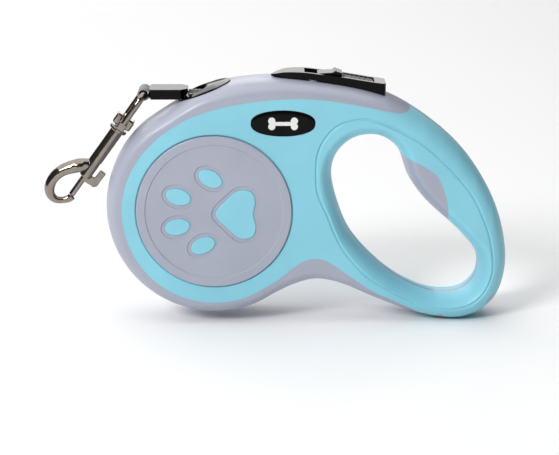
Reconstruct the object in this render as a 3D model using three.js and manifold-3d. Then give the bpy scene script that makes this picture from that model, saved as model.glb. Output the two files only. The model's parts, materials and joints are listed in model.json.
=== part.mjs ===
import * as THREE from "three";
import { mergeVertices } from "three/addons/utils/BufferGeometryUtils.js";
import Module from "manifold-3d";

const wasm = await Module();
wasm.setup();

// A retractable dog leash, in millimetres. It is drawn round its reel's axis: X runs back to the
// handle, Y to the right-hand side and Z up. The whole group is then moved so that the origin is
// in the middle of the grip.

// ---- Driving dimensions ----

// Housing
const BODY_RADIUS = 48.5; // round body, at the parting plane
const HANDLE_REACH = 131.6; // reel axis to the far end of the handle
const BODY_HALF = 15; // parting plane to the face of the body
const HANDLE_HALF = 13; // the same at the far end of the handle
const TAPER_START = 44; // the housing starts to thin here, behind the disc
const BODY_SHOULDER = 6.3; // how far the edge of the body is rounded in from its outline
const HANDLE_SHOULDER = 9.5;
const HOLE_SHOULDER = 6;
const SHOULDER_POWER = 3; // superellipse power of the rounding: 2 is round, more is squarer
const HOLE_POWER = 2.2;
const SKIN = 1.4; // soft overmould
const RIM_WALL = 2.4; // shell wall at the rim
const FACE_WALL = 4.1; // face of the body to the cavity
const PARTING = 0.1; // each shell stops this far from the parting plane
const SEAM = 1.3; // strip of bare shell left on each side of the parting plane

// A point set by the top of the body, and one that lies along the handle: 0 is at the back of the
// body, and 1 at the end of the handle.
const above = (x, height) => [x, BODY_RADIUS + height];
const along = (share, z) => [BODY_RADIUS + share * (HANDLE_REACH - BODY_RADIUS), z];
const [GRIP_X, GRIP_Z] = along(0.756, 1.6); // middle of the grip
const CAVITY_HALF = BODY_HALF - FACE_WALL;

// How finely the rounded shapes are faceted
const OUTLINE_STEPS = 44;
const HOLE_STEPS = 28;
const SHOULDER_ANGLES = [0, 42, 68, 90];
const DISC_SIDES = 36;

// Clearances
const GAP = 0.25; // between pieces that seat on each other
const RUNNING = 0.35; // between pieces that move on each other

// Side disc, paw and badge
const DISC_RADIUS = 34.5;
const DISC_PROUD = 0.8; // above the housing's face
const DISC_THICKNESS = 2;
const PLATE_THICKNESS = 0.8;
const PAD_BELOW = 0.3; // the paw's pads end this far below the disc's face
const BADGE_X = 30.6;
const BADGE_Z = BODY_RADIUS - 8.4;
const BADGE_LENGTH = 28;
const BADGE_HEIGHT = 11.3;
const BADGE_PROUD = 0.6;
const BADGE_ENDS = 0.8; // 1 gives an ellipse, and less gives blunter ends

// Reel and tape
const AXLE_RADIUS = 3;
const DRUM_RADIUS = 20;
const DRUM_WALL = 1.5;
const TAPE_WIDTH = 12;
const TAPE_THICKNESS = 0.8;
const TAPE_LENGTH = 5000;
const FLANGE_THICKNESS = 1.3;
const RATCHET_TEETH = 24;
const TOOTH_DEPTH = 1.8;
const FLANGE_TO_RIM = 2.5; // reel flange to the shell's rim wall
const SPRING_STRIP = 0.5;
const SPRING_TURNS = 4.5;
const TAPE_Z = BODY_RADIUS + 2.5; // the tape's straight run out of the mouth
const LEAD_INSIDE = 38; // how far behind the reel axis the straight run reaches

// Mouth guide
const MOUTH_X = -4.2;
const MOUTH_Z = BODY_RADIUS + 3.5;
const MOUTH_SLOPE = THREE.MathUtils.degToRad(23);
const MOUTH_HALF_LENGTH = 12.4;
const MOUTH_HALF_WIDTH = 11;
const MOUTH_DEPTH = 3.4;
const MOUTH_PROUD = 0.5;
const SLOT_ROOM = 1; // between the tape and the slot that it runs through

// Brake
const BEZEL_FRONT = 25.4;
const BEZEL_BACK = 76;
const BEZEL_HALF_WIDTH = 6.8;
const WINDOW_HALF_WIDTH = 4.9;
const RECESS_FRONT = 39.5; // the lock slides forward into this recess
const BUTTON_FRONT = 45.7;
const BUTTON_BACK = 70.6;
const LOCK_BACK = 56.8;
const BUTTON_TRAVEL = 2.5;
const LOCK_FOOT = BODY_RADIUS + 10.9;
const LOCK_TRAVEL = 3; // forwards, into the recess
const LOCK_ROOM = BUTTON_FRONT - LOCK_TRAVEL - RUNNING;
const PAWL_X = 70; // pawl pivot
const PAWL_Z = BODY_RADIUS - 4;
const PAWL_PIN_RADIUS = 1.4;
const STEM_X = 46.9; // where the button's stem pushes the pawl
const STEM_Z = BODY_RADIUS - 1.3;
const TOOTH_ANGLE = THREE.MathUtils.degToRad(47); // where the pawl meets the ratchet
const PAWL_LIFT = 1.1; // pawl tip to ratchet with the button up
const PAWL_SWEEP = THREE.MathUtils.degToRad(5); // how far round the reel the tip moves as it drops
const SHELF_X = 62; // the button's return spring stands here
const SHELF_Z = BODY_RADIUS - 1.5;

// End stop and snap
const STOP_LENGTH = 17.2;
const STOP_CLEAR = 2.36; // the stop to the slope of the housing, along the tape
const STOP_HALF_WIDTH = 6.6;
const STOP_HEIGHT = 4.4;
const LOOP_OUT = 2.2; // the snap's pivot beyond the stop
const SNAP_STANDOFF = 6.3; // the snap leans on the housing, with its axis this far off it
const EYE_WIRE = 1.5; // radius
const EYE_HALF_WIDTH = 8.8;
const EYE_DROP = 14.5; // pivot to the base of the eye
const EYE_BASE = 4; // height of the base
const LOOP_RADIUS = 2.8;
const STEM_RADIUS = 1.5;
const STEM_REACH = 6.5;
const BARREL_TOP = EYE_DROP + EYE_BASE + 1.1; // distances down the snap from its pivot
const BARREL_LENGTH = 27.8;
const BARREL_END = BARREL_TOP + BARREL_LENGTH;
const BARREL_RADIUS = 2.95;
const COLLAR_RADIUS = 4.15;
const COLLAR_HEIGHT = 1.7;
const BOLT_RADIUS = 1.4;
const BOLT_TRAVEL = 6.5;
const BOLT_OUT = 10.4; // how far the bolt stands out of the barrel
const BOLT_IN = 9.4;
const BOLT_TOP = BARREL_END - BOLT_IN;
const BOLT_END = BARREL_END + BOLT_OUT;
const BORE_TOP = BOLT_TOP - BOLT_TRAVEL - 3;
const HOOK_WIRE = 2.2;
const LEVER_REACH = 6.8;

// Screws
const SCREWS = [along(-0.006, -27), along(0.866, -39.8), along(0.475, 36), along(0.752, 3)];
const SCREW_HEAD_RADIUS = 2.6;
const SCREW_HEAD_HEIGHT = 1.8;
const SCREW_RADIUS = 1.2;
const SCREW_SEAT = 5; // parting plane to the seat of the head
const SCREW_REACH = 7;
const BOSS_RADIUS = 3.3;
const AXLE_SCREW_SEAT = CAVITY_HALF + 0.6;
const AXLE_SCREW_HEAD = 0.7;

// ---- Materials ----

const finish = (color, roughness, metalness = 0) =>
  new THREE.MeshStandardMaterial({ color, roughness, metalness });
const greyShell = finish(0xa8aebe, 0.45);
const blueSkin = finish(0x8bd0e2, 0.6);
const blackGloss = finish(0x101114, 0.12);
const blackSatin = finish(0x17181b, 0.35);
const whiteNylon = finish(0xd9dbdd, 0.5);
const nickel = finish(0xb9b2a6, 0.22, 1);
const steel = finish(0x9a9ca0, 0.35, 1);
const webbing = finish(0x24262b, 0.85);
const webbingGrey = finish(0x8a8d92, 0.85);

// ---- Solids ----

function solidOf(geometry) {
  const bare = geometry.clone();
  bare.deleteAttribute("normal");
  bare.deleteAttribute("uv");
  const merged = mergeVertices(bare, 1e-4);
  return new wasm.Manifold(
    new wasm.Mesh({
      numProp: 3,
      vertProperties: merged.attributes.position.array,
      triVerts: new Uint32Array(merged.index.array),
    }),
  );
}

function geometryOf(solid) {
  const mesh = solid.getMesh();
  const geometry = new THREE.BufferGeometry();
  geometry.setAttribute("position", new THREE.BufferAttribute(mesh.vertProperties, 3));
  geometry.setIndex(new THREE.BufferAttribute(mesh.triVerts, 1));
  geometry.computeVertexNormals();
  return geometry;
}

const join = (first, ...others) => others.reduce((whole, other) => whole.add(other), first);
const cut = (first, ...tools) => tools.reduce((rest, tool) => rest.subtract(tool), first);

// A solid whose points are moved by a function, and turned round if that mirrors it.
function moved(solid, move, mirrored = false) {
  const mesh = solid.getMesh();
  const points = Float32Array.from(mesh.vertProperties);
  const point = new THREE.Vector3();
  for (let i = 0; i < points.length; i += 3) move(point.fromArray(points, i)).toArray(points, i);
  const triangles = Uint32Array.from(mesh.triVerts);
  if (mirrored)
    for (let i = 0; i < triangles.length; i += 3)
      [triangles[i + 1], triangles[i + 2]] = [triangles[i + 2], triangles[i + 1]];
  return new wasm.Manifold(
    new wasm.Mesh({ numProp: 3, vertProperties: points, triVerts: triangles }),
  );
}

const mirror = (solid) => moved(solid, (p) => p.set(p.x, -p.y, p.z), true);

// A closed body through flat rings of [x, z] points, each at its own y.
function loft(levels) {
  const count = levels[0].ring.length;
  const positions = levels.flatMap(({ y, ring }) => ring.flatMap(([x, z]) => [x, y, z]));
  const index = [];
  for (let k = 0; k + 1 < levels.length; k++)
    for (let i = 0; i < count; i++) {
      const j = (i + 1) % count;
      const [a, b, c, d] = [k * count + i, k * count + j, (k + 1) * count + j, (k + 1) * count + i];
      index.push(a, b, c, a, c, d);
    }
  const cap = (level, towardsViewer) => {
    const flat = levels[level].ring.map(([x, z]) => new THREE.Vector2(x, z));
    for (const [a, b, c] of THREE.ShapeUtils.triangulateShape(flat, [])) {
      const counterClockwise = THREE.ShapeUtils.area([flat[a], flat[b], flat[c]]) > 0;
      const face = counterClockwise === towardsViewer ? [a, b, c] : [a, c, b];
      index.push(...face.map((i) => level * count + i));
    }
  };
  cap(0, false);
  cap(levels.length - 1, true);
  const geometry = new THREE.BufferGeometry();
  geometry.setAttribute("position", new THREE.Float32BufferAttribute(positions, 3));
  geometry.setIndex(index);
  return solidOf(geometry);
}

// A flat ring of [x, z] points given a thickness from y = far down to y = near.
function slab(ring, far, near) {
  const flat = ring.map(([x, z]) => new THREE.Vector2(x, z));
  const turned = THREE.ShapeUtils.isClockWise(flat) ? [...ring].reverse() : ring;
  return loft([
    { y: far, ring: turned },
    { y: near, ring: turned },
  ]);
}

function box([x0, y0, z0], [x1, y1, z1]) {
  const geometry = new THREE.BoxGeometry(x1 - x0, y1 - y0, z1 - z0);
  return solidOf(geometry.translate((x0 + x1) / 2, (y0 + y1) / 2, (z0 + z1) / 2));
}

// A round bar across the leash, from y = low to y = high.
function crossRod(x, z, radius, low, high, sides = 24) {
  const geometry = new THREE.CylinderGeometry(radius, radius, high - low, sides);
  return solidOf(geometry.translate(0, (low + high) / 2, 0).translate(x, 0, z));
}

// A body turned round an upright axis, from [radius, z] points.
function turned(profile, sides = 20) {
  const points = profile.map(([r, z]) => new THREE.Vector2(r, z));
  return solidOf(new THREE.LatheGeometry(points, sides).rotateX(Math.PI / 2));
}

// A round bar that hangs from z = high down to z = low.
const bar = (radius, low, high, sides = 16) =>
  turned([[0, low], [radius, low], [radius, high], [0, high]], sides);

// A round wire along a curve.
function wire(points, radius, steps, sides = 8) {
  const section = new THREE.Shape();
  for (let i = 0; i < sides; i++) {
    const angle = (i * 2 * Math.PI) / sides;
    const corner = [radius * Math.cos(angle), radius * Math.sin(angle)];
    if (i === 0) section.moveTo(...corner);
    else section.lineTo(...corner);
  }
  section.closePath();
  const extrudePath = new THREE.CatmullRomCurve3(points.map((p) => new THREE.Vector3(...p)));
  return solidOf(new THREE.ExtrudeGeometry(section, { steps, extrudePath }));
}

// A coiled round wire standing on z = low.
function helix(x, y, low, high, radius, thickness, turns, stepsPerTurn = 8) {
  const points = [];
  const steps = Math.round(turns * stepsPerTurn);
  for (let i = 0; i <= steps; i++) {
    const angle = (i * 2 * Math.PI) / stepsPerTurn;
    const z = low + thickness + ((high - low - 2 * thickness) * i) / steps;
    points.push([x + radius * Math.cos(angle), y + radius * Math.sin(angle), z]);
  }
  return wire(points, thickness, steps, 5);
}

// ---- Outlines ----

const arc = (radius, from, to, steps, x = 0, z = 0) =>
  Array.from({ length: steps + 1 }, (_, i) => {
    const angle = THREE.MathUtils.degToRad(from + ((to - from) * i) / Math.max(steps, 1));
    return [x + radius * Math.cos(angle), z + radius * Math.sin(angle)];
  });

// An oval turned by some degrees.
const oval = (at, long, high, turn) => {
  const angle = THREE.MathUtils.degToRad(turn);
  return arc(1, 0, 360 - 22.5, 15).map(([c, s]) => {
    const [a, b] = [c * long, s * high];
    return [at[0] + a * Math.cos(angle) - b * Math.sin(angle), at[1] + a * Math.sin(angle) + b * Math.cos(angle)];
  });
};

// A smooth closed ring through points, finest where they are closest, and counter-clockwise.
function smooth(points, count) {
  const curve = new THREE.CatmullRomCurve3(
    points.map(([x, z]) => new THREE.Vector3(x, 0, z)),
    true,
    "centripetal",
  );
  const ring = curve.getPoints(count).slice(0, count).map((p) => [p.x, p.z]);
  const flat = ring.map(([x, z]) => new THREE.Vector2(x, z));
  return THREE.ShapeUtils.isClockWise(flat) ? ring.reverse() : ring;
}

// A counter-clockwise ring moved inwards by a distance that may change with x.
function inset(ring, distance) {
  return ring.map(([x, z], i) => {
    const [x0, z0] = ring[(i + ring.length - 1) % ring.length];
    const [x1, z1] = ring[(i + 1) % ring.length];
    const along = new THREE.Vector2(x1 - x0, z1 - z0).normalize();
    const d = typeof distance === "function" ? distance(x) : distance;
    return [x - along.y * d, z + along.x * d];
  });
}


const OUTLINE = smooth(
  [
    ...arc(BODY_RADIUS, 118, 306, 13),
    along(-0.137, -35.2),
    along(-0.036, -33.2),
    along(0.089, -35.2),
    along(0.29, -42.6),
    along(0.466, -48.4),
    along(0.628, -51.9),
    along(0.764, -52.2),
    along(0.884, -48),
    along(0.964, -40),
    along(1, -26),
    along(0.976, -10),
    along(0.903, 6.4),
    along(0.755, 25),
    along(0.56, 39.6),
    above(79.1, 0.7),
    above(66, 4.8),
    above(50, 7.8),
    above(32, 9.6),
    above(15, 8.9),
    above(3, 6.9),
    above(-8, 3.2),
  ],
  OUTLINE_STEPS,
);

const HOLE = smooth(
  [
    along(0.046, 15),
    along(0.077, 24.9),
    along(0.168, 31.6),
    along(0.294, 32.5),
    along(0.395, 26.8),
    along(0.458, 13.8),
    along(0.545, 3.6),
    along(0.739, -11.8),
    along(0.841, -23),
    along(0.841, -33.2),
    along(0.767, -40.2),
    along(0.616, -41.4),
    along(0.403, -33.8),
    along(0.203, -18.6),
    along(0.118, -7.4),
  ],
  HOLE_STEPS,
);

// Where the slope in front of the mouth reaches a height.
function slopeX(z) {
  const i = OUTLINE.findIndex(([x0, z0], k) => {
    const z1 = OUTLINE[(k + 1) % OUTLINE.length][1];
    return x0 < MOUTH_HALF_LENGTH && z0 >= z && z1 < z && x0 < BODY_RADIUS / 2;
  });
  const [[x0, z0], [x1, z1]] = [OUTLINE[i], OUTLINE[(i + 1) % OUTLINE.length]];
  return x0 + ((x1 - x0) * (z - z0)) / (z1 - z0);
}
const stopTop = TAPE_Z + STOP_HEIGHT / 2 + 0.2;
const stopFoot = stopTop - STOP_HEIGHT;
const STOP_BACK = slopeX(TAPE_Z) - STOP_CLEAR;
const STOP_FRONT = STOP_BACK - STOP_LENGTH;
const SNAP_PIVOT_X = STOP_FRONT - LOOP_OUT;
const SNAP_PIVOT_Z = TAPE_Z;
const SNAP_LEAN =
  Math.asin((BODY_RADIUS + SNAP_STANDOFF) / Math.hypot(SNAP_PIVOT_X, SNAP_PIVOT_Z)) -
  Math.atan2(-SNAP_PIVOT_X, SNAP_PIVOT_Z);

// The blue skin's region, seen from the side: the face of the body, and the whole handle.
// Angles round the reel, each with how far in from the body's edge the skin ends there
const SKIN_FRONT = [
  [118, 6.7],
  [129, 7.4],
  [142, 7.75],
  [158, 7.8],
  [174, 7.6],
  [190, 7.5],
  [206, 7.2],
  [222, 6.7],
  [238, 6.4],
  [254, 6.2],
  [270, 6.2],
  [287, 6.2],
  [304, 6.5],
];
const SKIN_REGION = [
  ...SKIN_FRONT.map(([angle, margin]) => arc(BODY_RADIUS - margin, angle, angle, 0)[0]),
  along(-0.241, -31.6),
  along(-0.113, -23.4),
  along(-0.048, -21.9),
  along(0.017, -22.9),
  along(0.146, -30.2),
  along(0.278, -37.9),
  along(0.408, -43.2),
  along(0.519, -49),
  along(0.543, -60),
  along(1.144, -60),
  along(1.144, 60),
  along(0.519, 60),
  along(0.475, 46),
  along(0.41, 44),
  along(0.338, 45),
  above(62, -0.4),
  above(46, 2),
  above(32, 2.3),
  above(18, 1.1),
  above(4, -1.4),
  above(-5, -4.2),
];

// Bare grey patch on the inside of the grip.
const GRIP_PATCH = [
  along(0.426, 24.4),
  along(0.471, 22.8),
  along(0.539, 20),
  along(0.604, 15.8),
  along(0.639, 10.3),
  along(0.661, 4.8),
  along(0.671, -1.5),
  along(0.591, -9),
  along(0.326, 6),
  along(0.302, 26),
].reverse();

// Small bare ovals at the foot of the grip: centre, half length, half height and turn in degrees
const BARE_SPOTS = [
  [along(0.64, -51), 1.9, 1.9, 0],
  [along(0.936, -42.7), 3.9, 2.7, 50],
];

// ---- Housing ----

const lerp = THREE.MathUtils.lerp;
const shoulderAt = (x) =>
  lerp(BODY_SHOULDER, HANDLE_SHOULDER, THREE.MathUtils.smoothstep(x, BODY_RADIUS + 10, HANDLE_REACH - 30));
const wallAt = (x) =>
  lerp(RIM_WALL, RIM_WALL + SKIN, THREE.MathUtils.smoothstep(x, BODY_RADIUS + 8, BODY_RADIUS + 34));

const STEPS = SHOULDER_ANGLES.map(THREE.MathUtils.degToRad);

// The left half of a body with rounded shoulders: it starts at the outline moved in by `start`.
function pillow(start, half, shoulder) {
  const startAt = typeof start === "function" ? start : () => start;
  return loft(
    STEPS.map((angle) => {
      const height = Math.sin(angle) ** (2 / SHOULDER_POWER);
      const inwards = 1 - Math.cos(angle) ** (2 / SHOULDER_POWER);
      return {
        y: -PARTING - (half - PARTING) * height,
        ring: inset(OUTLINE, (x) => startAt(x) + shoulder(x) * inwards),
      };
    }),
  );
}

// The space of the finger hole in the left half, `grow` larger all round.
function trumpet(grow, half) {
  const levels = STEPS.map((angle) => ({
    y: -PARTING - (half - PARTING) * Math.sin(angle) ** (2 / HOLE_POWER),
    ring: inset(HOLE, -grow - HOLE_SHOULDER * (1 - Math.cos(angle) ** (2 / HOLE_POWER))),
  }));
  levels.unshift({ y: 1, ring: levels[0].ring });
  levels.push({ y: -half - 2, ring: levels.at(-1).ring });
  return loft(levels);
}

// The housing thins in a straight line from the back of the body to the end of the handle.
const halfAt = (x) =>
  x < TAPER_START
    ? BODY_HALF
    : lerp(BODY_HALF, HANDLE_HALF, (x - TAPER_START) / (HANDLE_REACH - TAPER_START));
function taper(solid) {
  const far = BODY_RADIUS + HANDLE_REACH;
  const front = box([-far, -far, -far], [TAPER_START, far, far]);
  const thin = (p) => p.setY((p.y * halfAt(p.x)) / BODY_HALF);
  return join(solid.intersect(front), moved(cut(solid, front), thin));
}

const outer = cut(pillow(0, BODY_HALF, shoulderAt), trumpet(0, BODY_HALF));
const underSkin = (room) =>
  cut(pillow(SKIN + room, BODY_HALF - SKIN - room, shoulderAt), trumpet(SKIN + room, BODY_HALF - SKIN - room));
const cavity = cut(
  pillow(wallAt, CAVITY_HALF, () => BODY_SHOULDER - 2.8),
  trumpet(SKIN + RIM_WALL - 0.4, CAVITY_HALF),
);
const bareSpots = (grow) =>
  BARE_SPOTS.map(([at, long, high, turn]) => slab(oval(at, long + grow, high + grow, turn), 1, -BODY_HALF - 4));
const skinRegion = cut(
  slab(SKIN_REGION, -SEAM, -BODY_HALF - 3),
  slab(GRIP_PATCH, 1, -BODY_HALF - 4),
  ...bareSpots(0),
);
const skinRoom = cut(
  slab(inset(SKIN_REGION, -GAP), -SEAM + GAP, -BODY_HALF - 3),
  slab(inset(GRIP_PATCH, GAP), 1, -BODY_HALF - 4),
  ...bareSpots(-GAP),
);

const discBack = BODY_HALF + DISC_PROUD - DISC_THICKNESS;
const plateBack = discBack - GAP - PLATE_THICKNESS;
const discFace = BODY_HALF + DISC_PROUD;

// The column that the mouth guide fills, square to the slope of the housing there.
function mouthBlock(room) {
  const plan = new THREE.CylinderGeometry(1, 1, MOUTH_DEPTH + 12, 20);
  plan.scale(MOUTH_HALF_LENGTH + room, 1, MOUTH_HALF_WIDTH + room);
  plan.translate(0, (12 - MOUTH_DEPTH) / 2 - room, 0);
  plan.rotateX(Math.PI / 2);
  plan.rotateY(-MOUTH_SLOPE);
  return solidOf(plan.translate(MOUTH_X, 0, MOUTH_Z));
}

const slotHalf = TAPE_WIDTH / 2 + SLOT_ROOM;
const tapeSlot = box(
  [STOP_FRONT, -slotHalf, TAPE_Z - TAPE_THICKNESS / 2 - SLOT_ROOM],
  [LEAD_INSIDE + 3, slotHalf, TAPE_Z + TAPE_THICKNESS / 2 + SLOT_ROOM],
);

const bezelTop = [
  above(BEZEL_FRONT, 10.8),
  above(BEZEL_FRONT + 5.6, 12.3),
  above(RECESS_FRONT, 12.5),
  above(BUTTON_FRONT + 1, 11.7),
  above(LOCK_BACK, 10.4),
  above(BUTTON_BACK, 8.7),
  above(BEZEL_BACK, 8.1),
];
const bezelFoot = [
  above(BEZEL_BACK, 2.2),
  above(66, 5.2),
  above(50, 8.2),
  above(38, 9.7),
  above(BEZEL_FRONT, 9.9),
];
const boatRing = (grow) => {
  const half = BEZEL_HALF_WIDTH + grow;
  const [front, back] = [BEZEL_FRONT - grow, BEZEL_BACK + grow];
  return [
    [front, 0],
    [front + 2, -half * 0.42],
    [front + 6, -half * 0.74],
    [front + 13, -half * 0.95],
    [front + 22, -half],
    [back - 2, -half],
    [back, -half + 2],
    [back, half - 2],
    [back - 2, half],
    [front + 22, half],
    [front + 13, half * 0.95],
    [front + 6, half * 0.74],
    [front + 2, half * 0.42],
  ];
};
// A boat-shaped column through the top of the housing, from its plan outline.
function boat(grow, low, high) {
  const shape = new THREE.Shape(boatRing(grow).map(([x, y]) => new THREE.Vector2(x, y)));
  const geometry = new THREE.ExtrudeGeometry(shape, { depth: high - low, bevelEnabled: false });
  return solidOf(geometry.translate(0, 0, low));
}
// The seat that the bezel lies in, open upwards.
const bezelSeat = slab(
  [
    ...bezelFoot.map(([x, z]) => [x, z - GAP]),
    above(BEZEL_FRONT - 2, 9.6),
    above(BEZEL_FRONT - 2, 20),
    above(BEZEL_BACK + 2, 20),
    above(BEZEL_BACK + 2, 2.2),
  ],
  BEZEL_HALF_WIDTH + 2,
  -BEZEL_HALF_WIDTH - 2,
).intersect(boat(GAP, BODY_RADIUS, BODY_RADIUS + 20));

// The brake's opening through the top of the shells, and the pocket in front of it that the lock
// slides into with the button down.
const brakeWell = join(
  box(
    [BUTTON_FRONT - RUNNING, -WINDOW_HALF_WIDTH, BODY_RADIUS - 2],
    [BUTTON_BACK + RUNNING, WINDOW_HALF_WIDTH, BODY_RADIUS + 20],
  ),
  box(
    [LOCK_ROOM, -WINDOW_HALF_WIDTH, LOCK_FOOT - BUTTON_TRAVEL - RUNNING],
    [BUTTON_BACK, WINDOW_HALF_WIDTH, BODY_RADIUS + 20],
  ),
);

const postEnd = -CAVITY_HALF - 0.6;
const posts = join(
  ...SCREWS.map(([x, z]) => crossRod(x, z, BOSS_RADIUS, postEnd, -PARTING, 16)),
  crossRod(0, 0, AXLE_RADIUS + 2.6, postEnd, postEnd + 2.2),
  crossRod(PAWL_X, PAWL_Z, PAWL_PIN_RADIUS + 1.8, postEnd, postEnd + 2.2, 16),
).intersect(underSkin(GAP));

const badgeRing = (grow) => {
  const half = BADGE_LENGTH / 2;
  const rise = BADGE_HEIGHT / 2;
  const side = (sign) =>
    Array.from({ length: 12 }, (_, i) => {
      const angle = (Math.PI * i) / 12;
      const height = Math.sin(angle) ** BADGE_ENDS;
      return [BADGE_X - sign * Math.cos(angle) * (half + grow), BADGE_Z - sign * (rise + grow) * height];
    });
  return [...side(1), ...side(-1)];
};

function shell() {
  const bare = cut(outer, cavity, cut(skinRoom, underSkin(GAP)));
  const recess = crossRod(0, 0, DISC_RADIUS + GAP, -BODY_HALF - 2, -plateBack + GAP, DISC_SIDES);
  return cut(
    taper(cut(join(bare, posts), recess)),
    mouthBlock(GAP),
    bezelSeat,
    brakeWell,
    crossRod(0, 0, AXLE_RADIUS + GAP / 2, -CAVITY_HALF, 0),
    crossRod(PAWL_X, PAWL_Z, PAWL_PIN_RADIUS + GAP / 2, -CAVITY_HALF - 0.1, 0, 16),
  );
}

function skin() {
  return cut(
    taper(
      cut(
        cut(outer, underSkin(0)).intersect(skinRegion),
        crossRod(0, 0, DISC_RADIUS + 2 * GAP, -BODY_HALF - 2, 0, DISC_SIDES),
      ),
    ),
    slab(badgeRing(GAP), 0, -BODY_HALF - 3),
    mouthBlock(GAP),
    bezelSeat,
  );
}

const plainShell = shell();
const plainSkin = skin();
const halfHole = SCREWS.map(([x, z]) => crossRod(x, z, SCREW_RADIUS + GAP, -SCREW_REACH - 1, 1, 12));
const leftShell = cut(plainShell, ...halfHole);
const headHoles = SCREWS.flatMap(([x, z]) => [
  crossRod(x, z, SCREW_RADIUS + GAP, -1, BODY_HALF, 12),
  crossRod(x, z, SCREW_HEAD_RADIUS + GAP, SCREW_SEAT, BODY_HALF + 2, 16),
]);
const springShelf = box(
  [SHELF_X - 3.4, -3.4, SHELF_Z - 2],
  [SHELF_X + 3.4, CAVITY_HALF + 0.4, SHELF_Z],
);
const rightShell = cut(
  join(mirror(plainShell), springShelf),
  ...headHoles,
  crossRod(0, 0, SCREW_RADIUS + GAP, 0, BODY_HALF, 12),
  crossRod(0, 0, SCREW_HEAD_RADIUS + GAP, AXLE_SCREW_SEAT, BODY_HALF, 16),
);
const leftSkin = plainSkin;
const rightSkin = cut(mirror(plainSkin), ...headHoles);

// ---- Disc, paw plate and badge ----

const TOES = [
  { at: [-1.5, 15.3], turn: -30 },
  { at: [-15.7, 7], turn: -17 },
  { at: [-16.3, -6.9], turn: 12 },
  { at: [-5, -15.5], turn: 25 },
];
const TOE_LONG = 5.7;
const TOE_SHORT = 3.7;
const PALM = [
  [0.6, -0.9],
  [5.6, 5.6],
  [11.6, 10],
  [16.8, 9],
  [18.4, 4.6],
  [17.4, -1],
  [18.6, -7],
  [17, -11.4],
  [11.6, -12.2],
  [5.4, -7.2],
];

const toeRing = ({ at, turn }, grow) => oval(at, TOE_LONG + grow, TOE_SHORT + grow, turn);
const palmRing = (grow) => inset(smooth(PALM, 26), -grow);
const paw = (grow, far, near) => [
  ...TOES.map((toe) => slab(toeRing(toe, grow), far, near)),
  slab(palmRing(grow), far, near),
];

const disc = cut(
  crossRod(0, 0, DISC_RADIUS, -discFace, -discBack, DISC_SIDES),
  ...paw(GAP, -discBack + 1, -discFace - 1),
);
const pawPlate = join(
  crossRod(0, 0, DISC_RADIUS - 2, -plateBack - PLATE_THICKNESS, -plateBack, DISC_SIDES),
  ...paw(0, -plateBack - PLATE_THICKNESS / 2, -discFace + PAD_BELOW),
);
const badgeBack = BODY_HALF - SKIN;
const badge = loft([
  { y: -badgeBack - GAP, ring: badgeRing(0) },
  { y: -BODY_HALF - BADGE_PROUD / 3, ring: badgeRing(0) },
  { y: -BODY_HALF - BADGE_PROUD, ring: badgeRing(-1.2) },
]);

// ---- Mouth guide ----

const wholeOuter = join(
  pillow(-MOUTH_PROUD, BODY_HALF, shoulderAt),
  mirror(pillow(-MOUTH_PROUD, BODY_HALF, shoulderAt)),
  slab(inset(OUTLINE, -MOUTH_PROUD), PARTING, -PARTING),
);
const mouthGuide = cut(wholeOuter.intersect(mouthBlock(0)), tapeSlot);

// ---- Reel, spring and tape ----

const flangeRadius = BODY_RADIUS - RIM_WALL - FLANGE_TO_RIM;
const tapeHalf = TAPE_WIDTH / 2;
const drumHalf = tapeHalf + RUNNING;
const coilInner = DRUM_RADIUS + GAP;
const coilRadius = Math.min(
  Math.sqrt(coilInner ** 2 + (TAPE_LENGTH * TAPE_THICKNESS) / Math.PI),
  flangeRadius - TOOTH_DEPTH - 0.6,
);

const ratchetRing = Array.from({ length: RATCHET_TEETH }, (_, i) => {
  const pitch = (2 * Math.PI) / RATCHET_TEETH;
  const middle = TOOTH_ANGLE - PAWL_SWEEP + i * pitch;
  const at = (radius, share) => [
    radius * Math.cos(middle + share * pitch),
    radius * Math.sin(middle + share * pitch),
  ];
  const root = flangeRadius - TOOTH_DEPTH;
  return [at(root, -0.2), at(root, 0.2), at(flangeRadius, 0.3), at(flangeRadius, 0.7)];
}).flat();

const reel = cut(
  join(
    slab(ratchetRing, -drumHalf, -drumHalf - FLANGE_THICKNESS),
    crossRod(0, 0, DRUM_RADIUS, -drumHalf - FLANGE_THICKNESS / 2, drumHalf, DISC_SIDES),
  ),
  crossRod(0, 0, DRUM_RADIUS - DRUM_WALL, -drumHalf, drumHalf + 1, DISC_SIDES),
  crossRod(0, 0, AXLE_RADIUS + RUNNING, -BODY_HALF, 0),
);
const reelFlange = cut(
  crossRod(0, 0, flangeRadius - 1, drumHalf + GAP, drumHalf + GAP + FLANGE_THICKNESS, DISC_SIDES),
  crossRod(0, 0, AXLE_RADIUS + RUNNING, 0, BODY_HALF),
);
const coil = (inner, outerRadius, half) =>
  cut(crossRod(0, 0, outerRadius, -half, half, DISC_SIDES), crossRod(0, 0, inner, -half - 1, half + 1, DISC_SIDES));
const tapeCoil = coil(coilInner, coilRadius, tapeHalf);

const springOuter = DRUM_RADIUS - DRUM_WALL - RUNNING;
const springInner = AXLE_RADIUS + RUNNING;
const spiralSpring = (() => {
  const stepsPerTurn = 16;
  const steps = Math.round(SPRING_TURNS * stepsPerTurn);
  const spiral = (offset) =>
    Array.from({ length: steps + 1 }, (_, i) => {
      const radius = lerp(springInner, springOuter - SPRING_STRIP, i / steps) + offset;
      const angle = (i * 2 * Math.PI) / stepsPerTurn;
      return [radius * Math.cos(angle), radius * Math.sin(angle)];
    });
  return slab([...spiral(SPRING_STRIP), ...spiral(0).reverse()], tapeHalf - 1, -tapeHalf + 1);
})();

const axlePin = cut(
  crossRod(0, 0, AXLE_RADIUS, -CAVITY_HALF + GAP, CAVITY_HALF - GAP),
  crossRod(0, 0, SCREW_RADIUS + GAP, -2, CAVITY_HALF, 12),
);

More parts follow.
